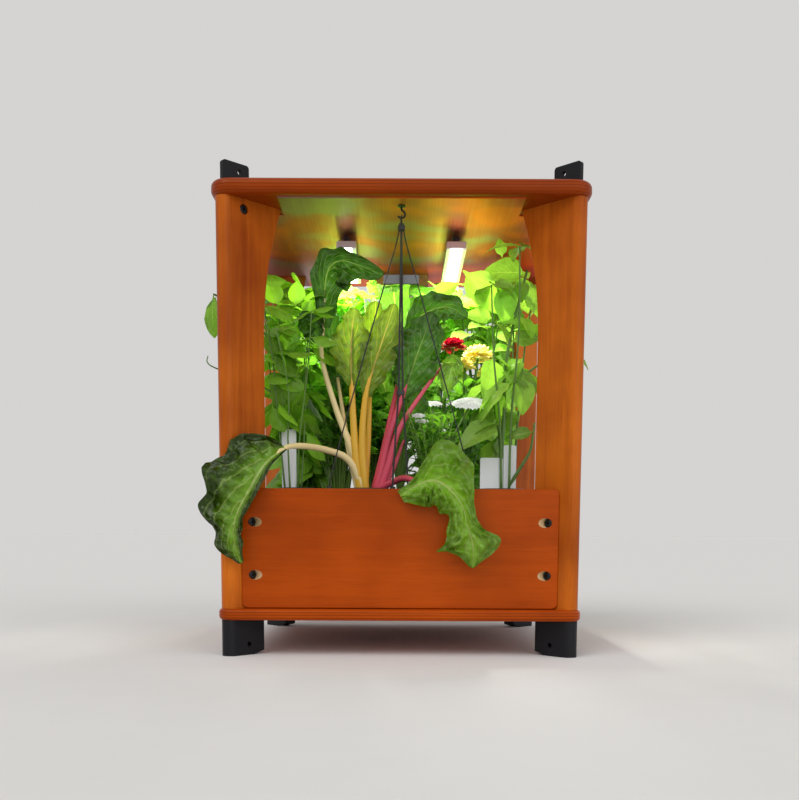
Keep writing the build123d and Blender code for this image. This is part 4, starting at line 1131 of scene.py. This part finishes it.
class GARDEN_OT_cords(bpy.types.Operator):
    """Lay the support cords along their routes"""

    bl_idname = "garden.cords"
    bl_label = "Support cords"

    def execute(self, context):
        braid = self.braid()
        half = [(8.0, HOOK_Y, 178.0), (8.0, HOOK_Y, 187.0), (2.99, HOOK_Y, 263.0), (2.2, HOOK_Y, 275.0),
                (2.04, HOOK_Y + 0.15, 287.0), (0.0, HOOK_Y + 2.05, 438.4), (0.0, HOOK_Y + 2.05, 450.4),
                (0.0, HOOK_Y + 2.05, 452.45)]
        back = [(-x, 2 * HOOK_Y - y, z) for x, y, z in half]
        self.cord("support_cord", back + half[::-1], braid, "centre_cord", thick=2.0, length=551.7,
                  carried=["cord_ties"])
        for name, side in (("left", -1), ("right", 1)):
            route = [(side * 75.0, HOOK_Y, 178.0), (side * 75.0, HOOK_Y, 187.0),
                     (side * 16.0, HOOK_Y + 5.0, 390.8), (side * 1.8, HOOK_Y, 435.4),
                     (side * 1.8, HOOK_Y, 445.4)]
            self.cord("side_line_" + name, route, braid, "side_cord_" + name, thick=1.4, length=278.1,
                      carried=[])
        return {"FINISHED"}

    def cord(self, name, route, braid, node_name, thick, length, carried):
        """One taut cord as a smooth curve on its route."""
        curve = bpy.data.curves.new(name, "CURVE")
        curve.dimensions = "3D"
        curve.bevel_depth = thick / 2 * MM
        curve.bevel_resolution = 3
        curve.resolution_u = 24
        curve.use_fill_caps = True
        spline = curve.splines.new("NURBS")
        spline.points.add(len(route) - 1)
        for point, place in zip(spline.points, route):
            point.co = (*(v * MM for v in place), 1.0)
        spline.order_u = 3
        spline.use_endpoint_u = True
        curve.materials.append(braid)
        piece = linked(name, curve)
        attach(piece, BODY)
        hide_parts(node_name)
        [v * MM for v in route[0]]

    def braid(self):
        """Black braided cord, woven of strands that cross."""
        finish, tree, shader = new_finish("braided_black")
        along, around, _ = split(tree, node(tree, "UVMap").outputs[0])
        one, two = ((along * 240.0 + around * turns) * 6.283 for turns in (4.0, -4.0))
        weave = one.step("SINE") * two.step("SINE")
        low, high = (0.008, 0.008, 0.008), (0.03, 0.03, 0.03)
        feed(tree, shader, {
            "Base Color": mixed(tree, weave.ranged(-1.0, 1.0), rgba(low), rgba(high)),
            "Normal": bumped(tree, weave, 0.4, 0.0002),
            "Roughness": 0.75,
        })
        return finish


# Slots of the chard's finishes
DARK, LIME, GOLD, PALE, PINK, BRIGHT = range(6)


class GARDEN_OT_chard(bpy.types.Operator):
    """Grow the chard, with two leaves over the front"""

    bl_idname = "garden.chard"
    bl_label = "Rainbow chard"

    def execute(self, context):
        props, rng = grown(context)
        crinkled = {"count": 6.0, "slant": 1.1, "mottle": 0.9, "bump": 1.0}
        finishes = [
            leaf_finish("chard_dark", props.chard, (0.15, 0.24, 0.05), rib=0.03, through=0.12,
                        blister=3.0, gloss=0.6, coat=0.2, **crinkled),
            leaf_finish("chard_lime", (0.13, 0.21, 0.016), (0.46, 0.38, 0.08), rib=0.04, through=0.26,
                        blister=2.6, gloss=0.7, coat=0.15, **crinkled),
            plain_finish("stem_gold", (0.66, 0.38, 0.03), 260.0, 0.5, (0.28, 0.42), 0.25),
            plain_finish("stem_pale", (0.74, 0.60, 0.30), 260.0, 0.4, (0.28, 0.42), 0.25),
            plain_finish("stem_pink", (0.58, 0.06, 0.11), 260.0, 0.5, (0.25, 0.4), 0.25),
            leaf_finish("chard_bright", (0.13, 0.28, 0.014), (0.34, 0.46, 0.12), rib=0.03, through=0.2,
                        blister=3.2, gloss=0.6, coat=0.25, **crinkled),
        ]
        plant = Plant(rng)
        self.pale_and_gold(plant)
        self.pink(plant)
        self.hanging(plant)
        plant.sheaf.piece("chard", finishes, "rainbow_chard", "chard_leaf")
        return {"FINISHED"}

    def pale_and_gold(self, plant):
        """The stems at the left, the tallest of which carries a leaf that folds over at the top."""
        plant.stalk([(-42, -106, 172), (-52, -107, 216), (-70, -108, 262), (-86, -108, 318),
                     (-84, -110, 360), (-82, -112, 390)], (4.4, 4.0, 3.4, 2.8, 2.2, 1.2), PALE)
        plant.blade([(-83, -111, 350), (-83, -113, 384), (-78, -116, 410), (-64, -120, 418),
                     (-43, -126, 411), (-19, -132, 400)],
                    (5, 20, 26, 28, 26, 18, 4), (4, 10, 15, 19, 9, 8, 3), DARK, (0.55, 0.2),
                    ruffle=5.0, cup=0.2, blister=3.8, rows=64, columns=29, ragged=0.16)
        plant.blade([(-84, -108, 330), (-94, -112, 346), (-100, -120, 352), (-104, -128, 340)],
                    (2, 11, 13, 3), (2, 12, 13, 3), DARK, (0.7, 0.3), ruffle=3.0)
        plant.stalk([(-44, -108, 172), (-50, -111, 225), (-53, -114, 285), (-53, -116, 330),
                     (-52, -115, 352)], (4.8, 4.2, 3.4, 2.2, 1.2), GOLD)
        plant.blade([(-53, -116, 288), (-54, -119, 314), (-53, -120, 342), (-50, -116, 370)],
                    (3, 18, 22, 18, 4), (3, 17, 21, 16, 4), LIME, (0.7, 0.4))
        plant.stalk([(-38, -109, 172), (-42, -113, 225), (-38, -117, 278), (-28, -119, 312),
                     (-18, -120, 342)], (4.8, 4.2, 3.4, 2.2, 1.2), GOLD)
        plant.blade([(-38, -118, 278), (-29, -121, 308), (-18, -123, 340), (-7, -119, 374)],
                    (3, 17, 21, 17, 4), (3, 17, 20, 16, 4), LIME, (0.6, 0.3))
        plant.stalk([(-46, -103, 172), (-58, -100, 225), (-70, -94, 300)], (4.0, 3.2, 1.8), PALE)
        plant.blade([(-68, -95, 285), (-72, -92, 312), (-76, -90, 345), (-74, -92, 368)],
                    (3, 15, 18, 4), (3, 15, 18, 4), DARK, (0.9, 0.5), ruffle=3.5)
        plant.stalk([(-40, -100, 172), (-36, -92, 230), (-34, -84, 300)], (4.0, 3.2, 2.0), GOLD)
        plant.blade([(-35, -88, 280), (-33, -84, 310), (-30, -82, 350), (-28, -86, 384)],
                    (3, 18, 22, 5), (3, 18, 22, 5), LIME, (0.7, 0.3), ruffle=4.0)

    def pink(self, plant):
        """The stems at the right."""
        plant.stalk([(-27, -106, 172), (-19, -107, 205), (-11, -108, 240), (4, -110, 284),
                     (14, -112, 314)], (5.0, 4.6, 3.8, 2.8, 1.4), PINK)
        plant.blade([(3, -110, 276), (13, -115, 308), (24, -118, 338), (34, -116, 366)],
                    (4, 22, 27, 22, 4), (4, 22, 26, 20, 4), DARK, (0.8, 0.3))
        plant.stalk([(-24, -112, 172), (-14, -116, 200), (-2, -118, 240), (20, -116, 276),
                     (46, -112, 311)], (4.6, 4.0, 3.2, 2.4, 1.4), PINK)
        plant.blade([(45, -113, 312), (56, -119, 312), (53, -125, 299), (48, -127, 280)],
                    (3, 11, 13, 4), (3, 10, 12, 4), BRIGHT, (0.6, 0.1), ruffle=3.5)
        plant.stalk([(-30, -100, 172), (-20, -97, 215), (-6, -95, 280), (8, -96, 340)],
                    (4.4, 3.6, 2.8, 1.4), PINK)
        plant.blade([(6, -97, 350), (26, -100, 368), (50, -104, 374), (72, -110, 362)],
                    (3, 15, 17, 14, 3), (3, 16, 18, 14, 3), DARK, (0.7, 0.25), ruffle=4.0)
        plant.blade([(0, -96, 310), (-8, -92, 330), (-14, -90, 352), (-12, -94, 374)],
                    (3, 16, 18, 4), (3, 16, 18, 4), DARK, (0.9, 0.5), ruffle=3.5)
        plant.stalk([(-22, -104, 172), (-8, -100, 200), (4, -98, 232)], (3.6, 2.8, 1.6), PINK)
        plant.blade([(2, -98, 226), (10, -100, 250), (16, -104, 274), (18, -106, 292)],
                    (3, 13, 15, 3), (3, 13, 15, 3), DARK, (0.8, 0.4), ruffle=3.0)

    def hanging(self, plant):
        """The two leaves that hang over the front, one before the left post and one before the apron."""
        dense = {"blister": 4.2, "rows": 96, "columns": 33}
        plant.stalk([(-40, -108, 174), (-56, -112, 208), (-82, -122, 219), (-108, -146, 221),
                     (-123, -166, 216), (-138, -184, 200), (-152, -194, 175)],
                    (4.4, 4.0, 3.6, 3.2, 2.8, 2.2, 1.4), PALE)
        # This leaf's tone falls from 0.58 at the rib to -0.50 at the margin: painted shade on its outer
        # half, which turns down from the light.
        plant.blade([(-121, -166, 217), (-137, -187, 200), (-152, -195, 175), (-166, -197, 149),
                     (-170, -198, 130), (-168, -198, 112), (-162, -197, 98)],
                    (4, 36, 48, 46, 40, 28, 19, 11, 3), (3, 5, 7, 8, 8, 8, 8, 6, 2),
                    BRIGHT, (0.58, -0.50), ruffle=6.0, cup=0.10, **dense)
        plant.stalk([(-26, -112, 176), (-8, -132, 184), (4, -160, 187), (14, -176, 184),
                     (24, -187, 180), (46, -195, 177)], (4.2, 3.6, 3.2, 2.8, 2.4, 1.4), PINK)
        plant.blade([(0, -187, 168), (20, -191, 180), (36, -195, 182), (50, -198, 174), (63, -199, 158),
                     (69, -199, 137), (75, -199, 115), (75, -198, 94)],
                    (8, 22, 27, 29, 27, 26, 24, 21, 20, 26, 42, 14, 2),
                    (5, 6, 12, 38, 44, 37, 21, 12, 10, 14, 29, 14, 2),
                    BRIGHT, (0.90, 0.30), ruffle=4.5, cup=0.06, **dense)


# Leaves that show at the front, each from its base to its tip, and its tone
BASIL_LEAVES = (
    ((-121, -120, 360), (-122, -128, 322), 0.80), ((-114, -112, 371), (-112, -118, 398), 1.00),
    ((-132, -110, 372), (-142, -116, 400), 0.60), ((-101, -108, 358), (-95, -114, 389), 0.90),
    ((-131, -114, 302), (-128, -122, 262), 0.40), ((-119, -118, 304), (-116, -125, 268), 0.60),
    ((-140, -118, 266), (-126, -126, 240), 0.75), ((-143, -112, 350), (-133, -122, 320), 0.35),
)
PEPPER_LEAVES = (
    ((138, -100, 410), (89, -108, 416), 0.35), ((109, -104, 426), (106, -107, 446), 0.80),
    ((67, -105, 412), (107, -114, 374), 0.75), ((36, -95, 384), (60, -100, 404), 1.00),
    ((112, -112, 396), (113, -118, 356), 0.90), ((101, -102, 362), (72, -110, 369), 0.95),
    ((120, -107, 337), (150, -114, 344), 0.20), ((122, -112, 301), (148, -120, 292), 0.30),
    ((133, -114, 300), (134, -120, 260), 0.90), ((140, -108, 400), (150, -114, 366), 0.50),
)


class GARDEN_OT_bushes(bpy.types.Operator):
    """Grow the basil and the pepper"""

    bl_idname = "garden.bushes"
    bl_label = "Basil and pepper"

    def execute(self, context):
        props, rng = grown(context)
        stem = plain_finish("stem_green", (0.10, 0.20, 0.035), 300.0, 0.5, (0.4, 0.55), 0.2)
        self.basil(rng, props.basil, stem)
        self.pepper(rng, props.pepper, stem)
        return {"FINISHED"}

    def basil(self, rng, colour, stem):
        """The basil in the left corners."""
        finish = leaf_finish("basil_leaf", colour, (0.22, 0.38, 0.08), count=7.0, rib=0.03, bump=0.6,
                             coat=0.15)
        cupped = leaf_template("cupped", width=0.31, blunt=0.80, fold=-0.35, bend=0.26, ripple=0.012)
        plant = Plant(rng)
        front, back = POTS["basil"], POTS["back basil"]
        plant.fan((front[0] - 10, front[1]), stems=8, height=226, spread=34, length=48, first=0.34, step=22,
                  pitch=-0.60, broad=1.05, thick=1.2)
        plant.fan((back[0] - 6, back[1]), stems=11, height=268, spread=56, length=56, first=0.15, step=24,
                  pitch=-0.45, broad=1.05, thick=1.4, least=0.85)
        plant.shoots(back, row_of_tops(6, left=-158, back=84, deep=8, high=424), length=40, broad=1.1)
        self.stray(plant)
        for base, tip, tone in BASIL_LEAVES:
            plant.leaves.reach(base, tip, tone, broad=1.1)
        plant.leaves.piece("basil_leaves", cupped, finish, "basil_plants", "basil_leaf")
        plant.sheaf.piece("basil_stems", [stem], "basil_plants", "basil_leaf")
        remove(cupped)

    def stray(self, plant):
        """A shoot of basil that has grown out past the left posts, and a twig below it."""
        line = plant.stem([(-120, -104, 300), (-150, -112, 346), (-180, -134, 370), (-194, -158, 374)],
                          (1.6, 0.9), tone=0.5, count=14)
        for point, turn, lift, roll, length, tone in (
                (-1, 252, -72, 0.15, 44, 0.35), (-2, 200, -35, -0.4, 17, 0.55), (8, 90, 10, 0.0, 30, 0.5)):
            plant.leaves.put(line[point], math.radians(turn), math.radians(lift), roll, length, tone)
        plant.stem([(-120, -106, 268), (-160, -118, 292), (-192, -146, 300), (-203, -150, 306),
                    (-202, -152, 313)], (1.1, 0.5), tone=0.8, sides=5, count=16)

    def pepper(self, rng, colour, stem):
        """The pepper in the right corners, whose main stems show between its leaves."""
        finish = leaf_finish("pepper_leaf", colour, (0.32, 0.46, 0.10), count=8.0, rib=0.03, bump=0.5,
                             coat=0.15)
        pointed = leaf_template("pointed", width=0.27, blunt=0.72, fold=0.30, bend=0.34, ripple=0.02)
        plant = Plant(rng)
        front, back = POTS["pepper"], POTS["back pepper"]
        plant.fan((front[0] + 8, front[1]), stems=5, height=262, spread=30, length=56, first=0.36, step=29,
                  pitch=-0.60, broad=1.0, thick=1.5)
        plant.fan((back[0] + 4, back[1]), stems=10, height=272, spread=58, length=62, first=0.18, step=26,
                  pitch=-0.45, broad=1.0, thick=1.4, least=0.85)
        plant.shoots(back, row_of_tops(6, left=86, back=84, deep=8, high=424), length=42, broad=1.1)
        for base, tip, tone in PEPPER_LEAVES:
            plant.leaves.reach(base, tip, tone, broad=1.15)
        plant.stem([(109, -105, 172), (111, -107, 215), (114, -108, 262), (113, -108, 301),
                    (121, -109, 350), (136, -108, 412)], (2.7, 1.3), tone=0.7, sides=8, count=24)
        plant.stem([(115, -104, 172), (134, -109, 204), (143, -111, 221), (147, -111, 250)],
                   (2.2, 1.1), tone=0.7, sides=8, count=24)
        plant.leaves.reach((146, -112, 240), (117, -118, 237), tone=0.1, broad=0.9)
        line = plant.stem([(118, -104, 284), (150, -110, 312), (184, -118, 322)], (1.6, 0.9), tone=0.5,
                          count=10)
        plant.leaves.put(line[-1], math.radians(-20), math.radians(-25), roll=0.3, length=24, tone=0.4)
        plant.leaves.piece("pepper_leaves", pointed, finish, "pepper_plants", "pepper_leaf")
        plant.sheaf.piece("pepper_stems", [stem], "pepper_plants", "pepper_leaf")
        remove(pointed)


class GARDEN_OT_herbs(bpy.types.Operator):
    """Grow the parsley and the alyssum"""

    bl_idname = "garden.herbs"
    bl_label = "Parsley and alyssum"

    def execute(self, context):
        props, rng = grown(context)
        stem = plain_finish("stem_herb", (0.16, 0.30, 0.05), 300.0, 0.5, (0.4, 0.55), 0.2)
        herb = leaf_finish("parsley_leaf", props.herb, (0.30, 0.46, 0.10), count=6.0, rib=0.04, through=0.35)
        self.parsley(rng, herb, stem)
        self.alyssum(rng, herb, stem)
        return {"FINISHED"}

    def parsley(self, rng, herb, stem):
        """Two tufts of parsley."""
        plant = Plant(rng)
        cut = frond_template("cut")
        self.tuft(plant, POTS["parsley"], height=190, count=64)
        self.tuft(plant, POTS["back parsley"], height=272, count=110)
        plant.leaves.piece("parsley_fronds", cut, herb, "parsley_plants", "parsley_leaf")
        plant.sheaf.piece("parsley_stems", [stem], "parsley_plants", "parsley_leaf")
        remove(cut)

    def tuft(self, plant, pot, height, count, spread=46):
        """Many thin stems, each with cut leaves near its top."""
        rng = plant.rng
        for index in range(count):
            heading = index * GOLDEN_TURN
            out = spread * math.sqrt((index + 0.5) / count) * rng.uniform(0.8, 1.1)
            tall = height * rng.uniform(0.35, 1.0)
            points = plant.rising(pot, heading, start=0.22 * out, lean=0.8 * out, height=tall, sway=2.0)
            line = plant.stem(points, (1.1, 0.6), rng.uniform(0.3, 0.8), sides=5)
            for twig in range(7):
                place = line[-1 - twig]
                turn = heading + twig * 2.2 + rng.normal(0, 0.4)
                size = rng.uniform(20, 32)
                lift = rng.normal(0.35, 0.35)
                if within(place + size * np.array((*heading_of(turn), math.sin(lift)))):
                    plant.leaves.put(place, turn, lift, rng.normal(0, 0.4), size, rng.uniform(0.2, 1.0))

    def alyssum(self, rng, herb, stem):
        """A low mound of alyssum with flat white heads."""
        white = leaf_finish("alyssum_petal", (0.80, 0.82, 0.82), (0.80, 0.80, 0.76), count=2.0, rib=0.02,
                            slant=0.5, mottle=0.1, bump=0.1, through=0.3, glow=(1.0, 1.0, 1.0))
        small = leaf_template("small", width=0.2, blunt=0.8, fold=0.3, bend=0.2, ripple=0.0, rows=5,
                              columns=3)
        floret = floret_template("floret")
        plant = Plant(rng)
        pot = POTS["alyssum"]
        self.mound(plant, pot)
        for tip, radius in (((78, -100, 272), 19.0), ((36, -98, 268), 7.0)):
            bend = (0.6 * pot[0] + 0.4 * tip[0], pot[1], 225)
            plant.stem([(*pot, PLUG_TOP), bend, tip], (1.6, 1.2), tone=0.5)
            plant.umbel(tip, radius, count=int(radius * radius * 0.75))
        plant.leaves.piece("alyssum_leaves", small, herb, "alyssum", "alyssum_leaf")
        plant.heads.piece("alyssum_heads", floret, white, "alyssum", "alyssum_leaf")
        plant.sheaf.piece("alyssum_stems", [stem], "alyssum", "alyssum_leaf")
        remove(small, floret)

    def mound(self, plant, pot):
        """Thin stems with narrow leaves, two of which carry a small head."""
        rng = plant.rng
        count, spread = 34, 36
        for index in range(count):
            heading = index * GOLDEN_TURN
            out = spread * math.sqrt((index + 0.5) / count)
            tall = rng.uniform(78, 104) - 0.3 * out
            points = plant.rising(pot, heading, start=0.2 * out, lean=0.8 * out, height=tall, sway=1.5)
            line = plant.stem(points, (1.0, 0.5), rng.uniform(0.3, 0.8), sides=5)
            for twig in range(2, 11):
                turn = heading + twig * GOLDEN_TURN
                plant.leaves.put(line[twig], turn, rng.normal(0.5, 0.2), 0.0, rng.uniform(11, 18),
                                 rng.uniform(0.1, 0.8))
            if index % 16 == 4:
                plant.umbel(line[-1], radius=5.0, count=14)


class GARDEN_OT_flowers(bpy.types.Operator):
    """Grow the kale, the marigold and the celosia"""

    bl_idname = "garden.flowers"
    bl_label = "Kale, marigold and celosia"

    def execute(self, context):
        props, rng = grown(context)
        stem = plain_finish("stem_flower", (0.13, 0.26, 0.05), 300.0, 0.5, (0.4, 0.55), 0.2)
        green = leaf_finish("flower_leaf", props.herb, (0.30, 0.46, 0.10), count=7.0, rib=0.03)
        yellow = leaf_finish("marigold_petal", (0.96, 0.86, 0.36), (0.98, 0.92, 0.55), count=3.0, rib=0.02,
                             slant=0.4, mottle=0.4, bump=0.2, through=0.25, glow=(1.0, 1.0, 0.9))
        red = leaf_finish("celosia_petal", (0.36, 0.008, 0.03), (0.40, 0.02, 0.05), count=3.0, rib=0.02,
                          slant=0.4, through=0.2, glow=(1.6, 1.0, 1.0))
        narrow = leaf_template("narrow", width=0.20, blunt=0.8, fold=0.3, bend=0.25, ripple=0.02)
        petal = leaf_template("petal", width=0.34, blunt=1.5, fold=-0.25, bend=0.18, ripple=0.03, rows=6,
                              stalk=0.02)
        self.kale(rng, stem)
        for name, height, heads, tops, bright in (
                ("marigold", 150, ((18, 0, 164, 19), (2, -12, 150, 13), (30, 12, 146, 14)), (), yellow),
                ("celosia", 256, ((25, -107, 172, 15), (8, -10, 200, 10)),
                 row_of_tops(10, left=-38, back=96, deep=6, high=428), red)):
            plant = self.flowering(rng, POTS[name], height, heads, tops)
            slot = name + "_flower"
            plant.leaves.piece(name + "_leaves", narrow, green, name, slot)
            plant.heads.piece(name + "_heads", petal, bright, name, slot)
            plant.sheaf.piece(name + "_stems", [stem], name, slot)
        remove(narrow, petal)
        return {"FINISHED"}

    def kale(self, rng, stem):
        """A rosette of crinkled leaves, the inner ones higher."""
        finish = leaf_finish("kale_leaf", (0.09, 0.21, 0.03), (0.34, 0.42, 0.12), count=6.0, rib=0.05,
                             slant=1.1, mottle=0.9, bump=0.8, through=0.28, blister=1.5)
        plant = Plant(rng)
        for index in range(13):
            self.kale_leaf(plant, index)
        plant.sheaf.piece("kale_plant", [finish, stem], "kale", "kale_leaf")

    def kale_leaf(self, plant, index):
        """One leaf of the rosette. The later ones stand higher and reach out less."""
        turn = index * GOLDEN_TURN + 0.6
        high = 84 + 12 * index
        reach = (46 - 1.8 * index) * heading_of(turn)

        def at(share, level):
            """A point that lies a share of the way out, at a level above the plugs."""
            return (*np.array(POTS["kale"]) + share * reach, PLUG_TOP + level)

        bend = at(0.45, 0.8 * high)
        plant.stem([at(0, 0), at(0.2, 0.5 * high), bend], (3.0, 1.4), tone=0.5, sides=8, slot=1)
        tone = plant.rng.uniform(0.4, 0.9)
        half = (3, 19, 22, 6)
        plant.blade([bend, at(0.75, high), at(1.0, high + 12), at(1.12, high + 4)], half, half, 0,
                    (tone, tone), facing=(*-0.5 * heading_of(turn), 1.0), ruffle=4.0, cup=0.1, blister=1.0,
                    rows=24, columns=13)

    def flowering(self, rng, pot, height, heads, tops):
        """A leafy plant with flower heads on stems of their own, each set off from its pot."""
        plant = Plant(rng)
        plant.fan(pot, stems=8, height=height, spread=36, length=38, first=0.15, step=15, pitch=0.0,
                  broad=1.0, thick=1.5)
        plant.shoots(pot, tops, length=40, broad=1.5)
        for aside, deep, high, radius in heads:
            offset = np.array((aside, deep, high))
            foot = np.array((*pot, PLUG_TOP))
            plant.stem([foot, foot + 0.5 * offset, foot + offset], (2.0, 1.6), tone=0.5)
            plant.rosette(foot + offset, radius)
        return plant


class GARDEN_OT_stage(bpy.types.Operator):
    """Set the floor, the studio light and the camera"""

    bl_idname = "garden.stage"
    bl_label = "Stage"

    def execute(self, context):
        props = context.scene.garden_stage
        self.floor(props)
        context.scene.world = self.world(props)
        self.lamp("key", (-0.7, -1.1, 1.5), props.key, spread=40)
        self.lamp("fill", (1.1, -1.6, 0.6), props.fill, spread=70)
        camera = bpy.data.cameras.new("camera")
        camera.sensor_width = 36.0
        camera.lens = props.lens
        camera.shift_x, camera.shift_y = props.shift
        stand = linked("camera", camera)
        stand.location = props.camera
        stand.rotation_euler = (math.radians(90) - props.pitch, 0, 0)
        stand.rotation_euler.rotate_axis("Z", props.roll)
        context.scene.camera = stand
        context.scene.view_settings.view_transform = "Standard"
        return {"FINISHED"}

    def floor(self, props):
        """A wide plain floor without gloss."""
        reach = 40.0
        corners = [(-reach, -reach, 0), (reach, -reach, 0), (reach, reach, 0), (-reach, reach, 0)]
        mesh = bpy.data.meshes.new("floor")
        mesh.from_pydata(corners, [], [(0, 1, 2, 3)])
        dull = {"Specular IOR Level": 0.0}
        mesh.materials.append(plain_finish("pale_floor", props.floor, 40.0, 0.03, (0.6, 0.7), 0.0, dull))
        floor = linked("floor", mesh)

    def world(self, props):
        """Even light, which the camera and gloss see as a pale backdrop."""
        world = bpy.data.worlds.new("studio")
        world.use_nodes = True
        tree = world.node_tree
        tree.nodes.clear()
        ray = node(tree, "LightPath").outputs
        light = node(tree, "Background", {"Color": (1.0, 0.99, 0.97, 1.0), "Strength": props.sky})
        pale = node(tree, "Background", {"Color": rgba(props.floor), "Strength": props.backdrop})
        seen = Output(tree, ray["Is Glossy Ray"]).step("MAXIMUM", ray["Is Transmission Ray"])
        seen = seen.step("MAXIMUM", ray["Is Camera Ray"])
        both = node(tree, "MixShader", {0: seen, 1: light.outputs[0], 2: pale.outputs[0]})
        node(tree, "OutputWorld", {"Surface": both.outputs[0]})
        return world

    def lamp(self, name, place, power, spread):
        """A broad light from a place to the garden's middle, its spread in degrees."""
        light = bpy.data.lights.new(name, "SUN")
        light.energy = power
        light.angle = math.radians(spread)
        stand = linked(name, light)
        stand.location = place
        middle = Vector((0, 0, 0.25))
        stand.rotation_euler = (middle - Vector(place)).to_track_quat("-Z", "Y").to_euler()


OPERATORS = (GARDEN_OT_stage, GARDEN_OT_cords, GARDEN_OT_wood, GARDEN_OT_hardware, GARDEN_OT_ceiling,
             GARDEN_OT_water, GARDEN_OT_chard, GARDEN_OT_bushes, GARDEN_OT_herbs, GARDEN_OT_flowers)


class GARDEN_PT_panel(bpy.types.Panel):
    """Shows the garden's settings and the buttons of its operators"""

    bl_idname = "GARDEN_PT_panel"
    bl_label = "Indoor garden"
    bl_space_type = "VIEW_3D"
    bl_region_type = "UI"
    bl_category = "Garden"

    def draw(self, context):
        for label, group in GROUPS:
            for key in group.__annotations__:
                self.layout.prop(getattr(context.scene, label), key)
        for operator in OPERATORS:
            self.layout.operator(operator.bl_idname)


def register():
    for label, group in GROUPS:
        bpy.utils.register_class(group)
        setattr(bpy.types.Scene, label, bpy.props.PointerProperty(type=group))
    for made in (*OPERATORS, GARDEN_PT_panel):
        bpy.utils.register_class(made)


def unregister():
    for made in reversed((*OPERATORS, GARDEN_PT_panel)):
        bpy.utils.unregister_class(made)
    for label, group in reversed(GROUPS):
        delattr(bpy.types.Scene, label)
        bpy.utils.unregister_class(group)


def main():
    register()
    for operator in OPERATORS:
        area, name = operator.bl_idname.split(".")
        getattr(getattr(bpy.ops, area), name)()


if __name__ == "__main__":
    main()
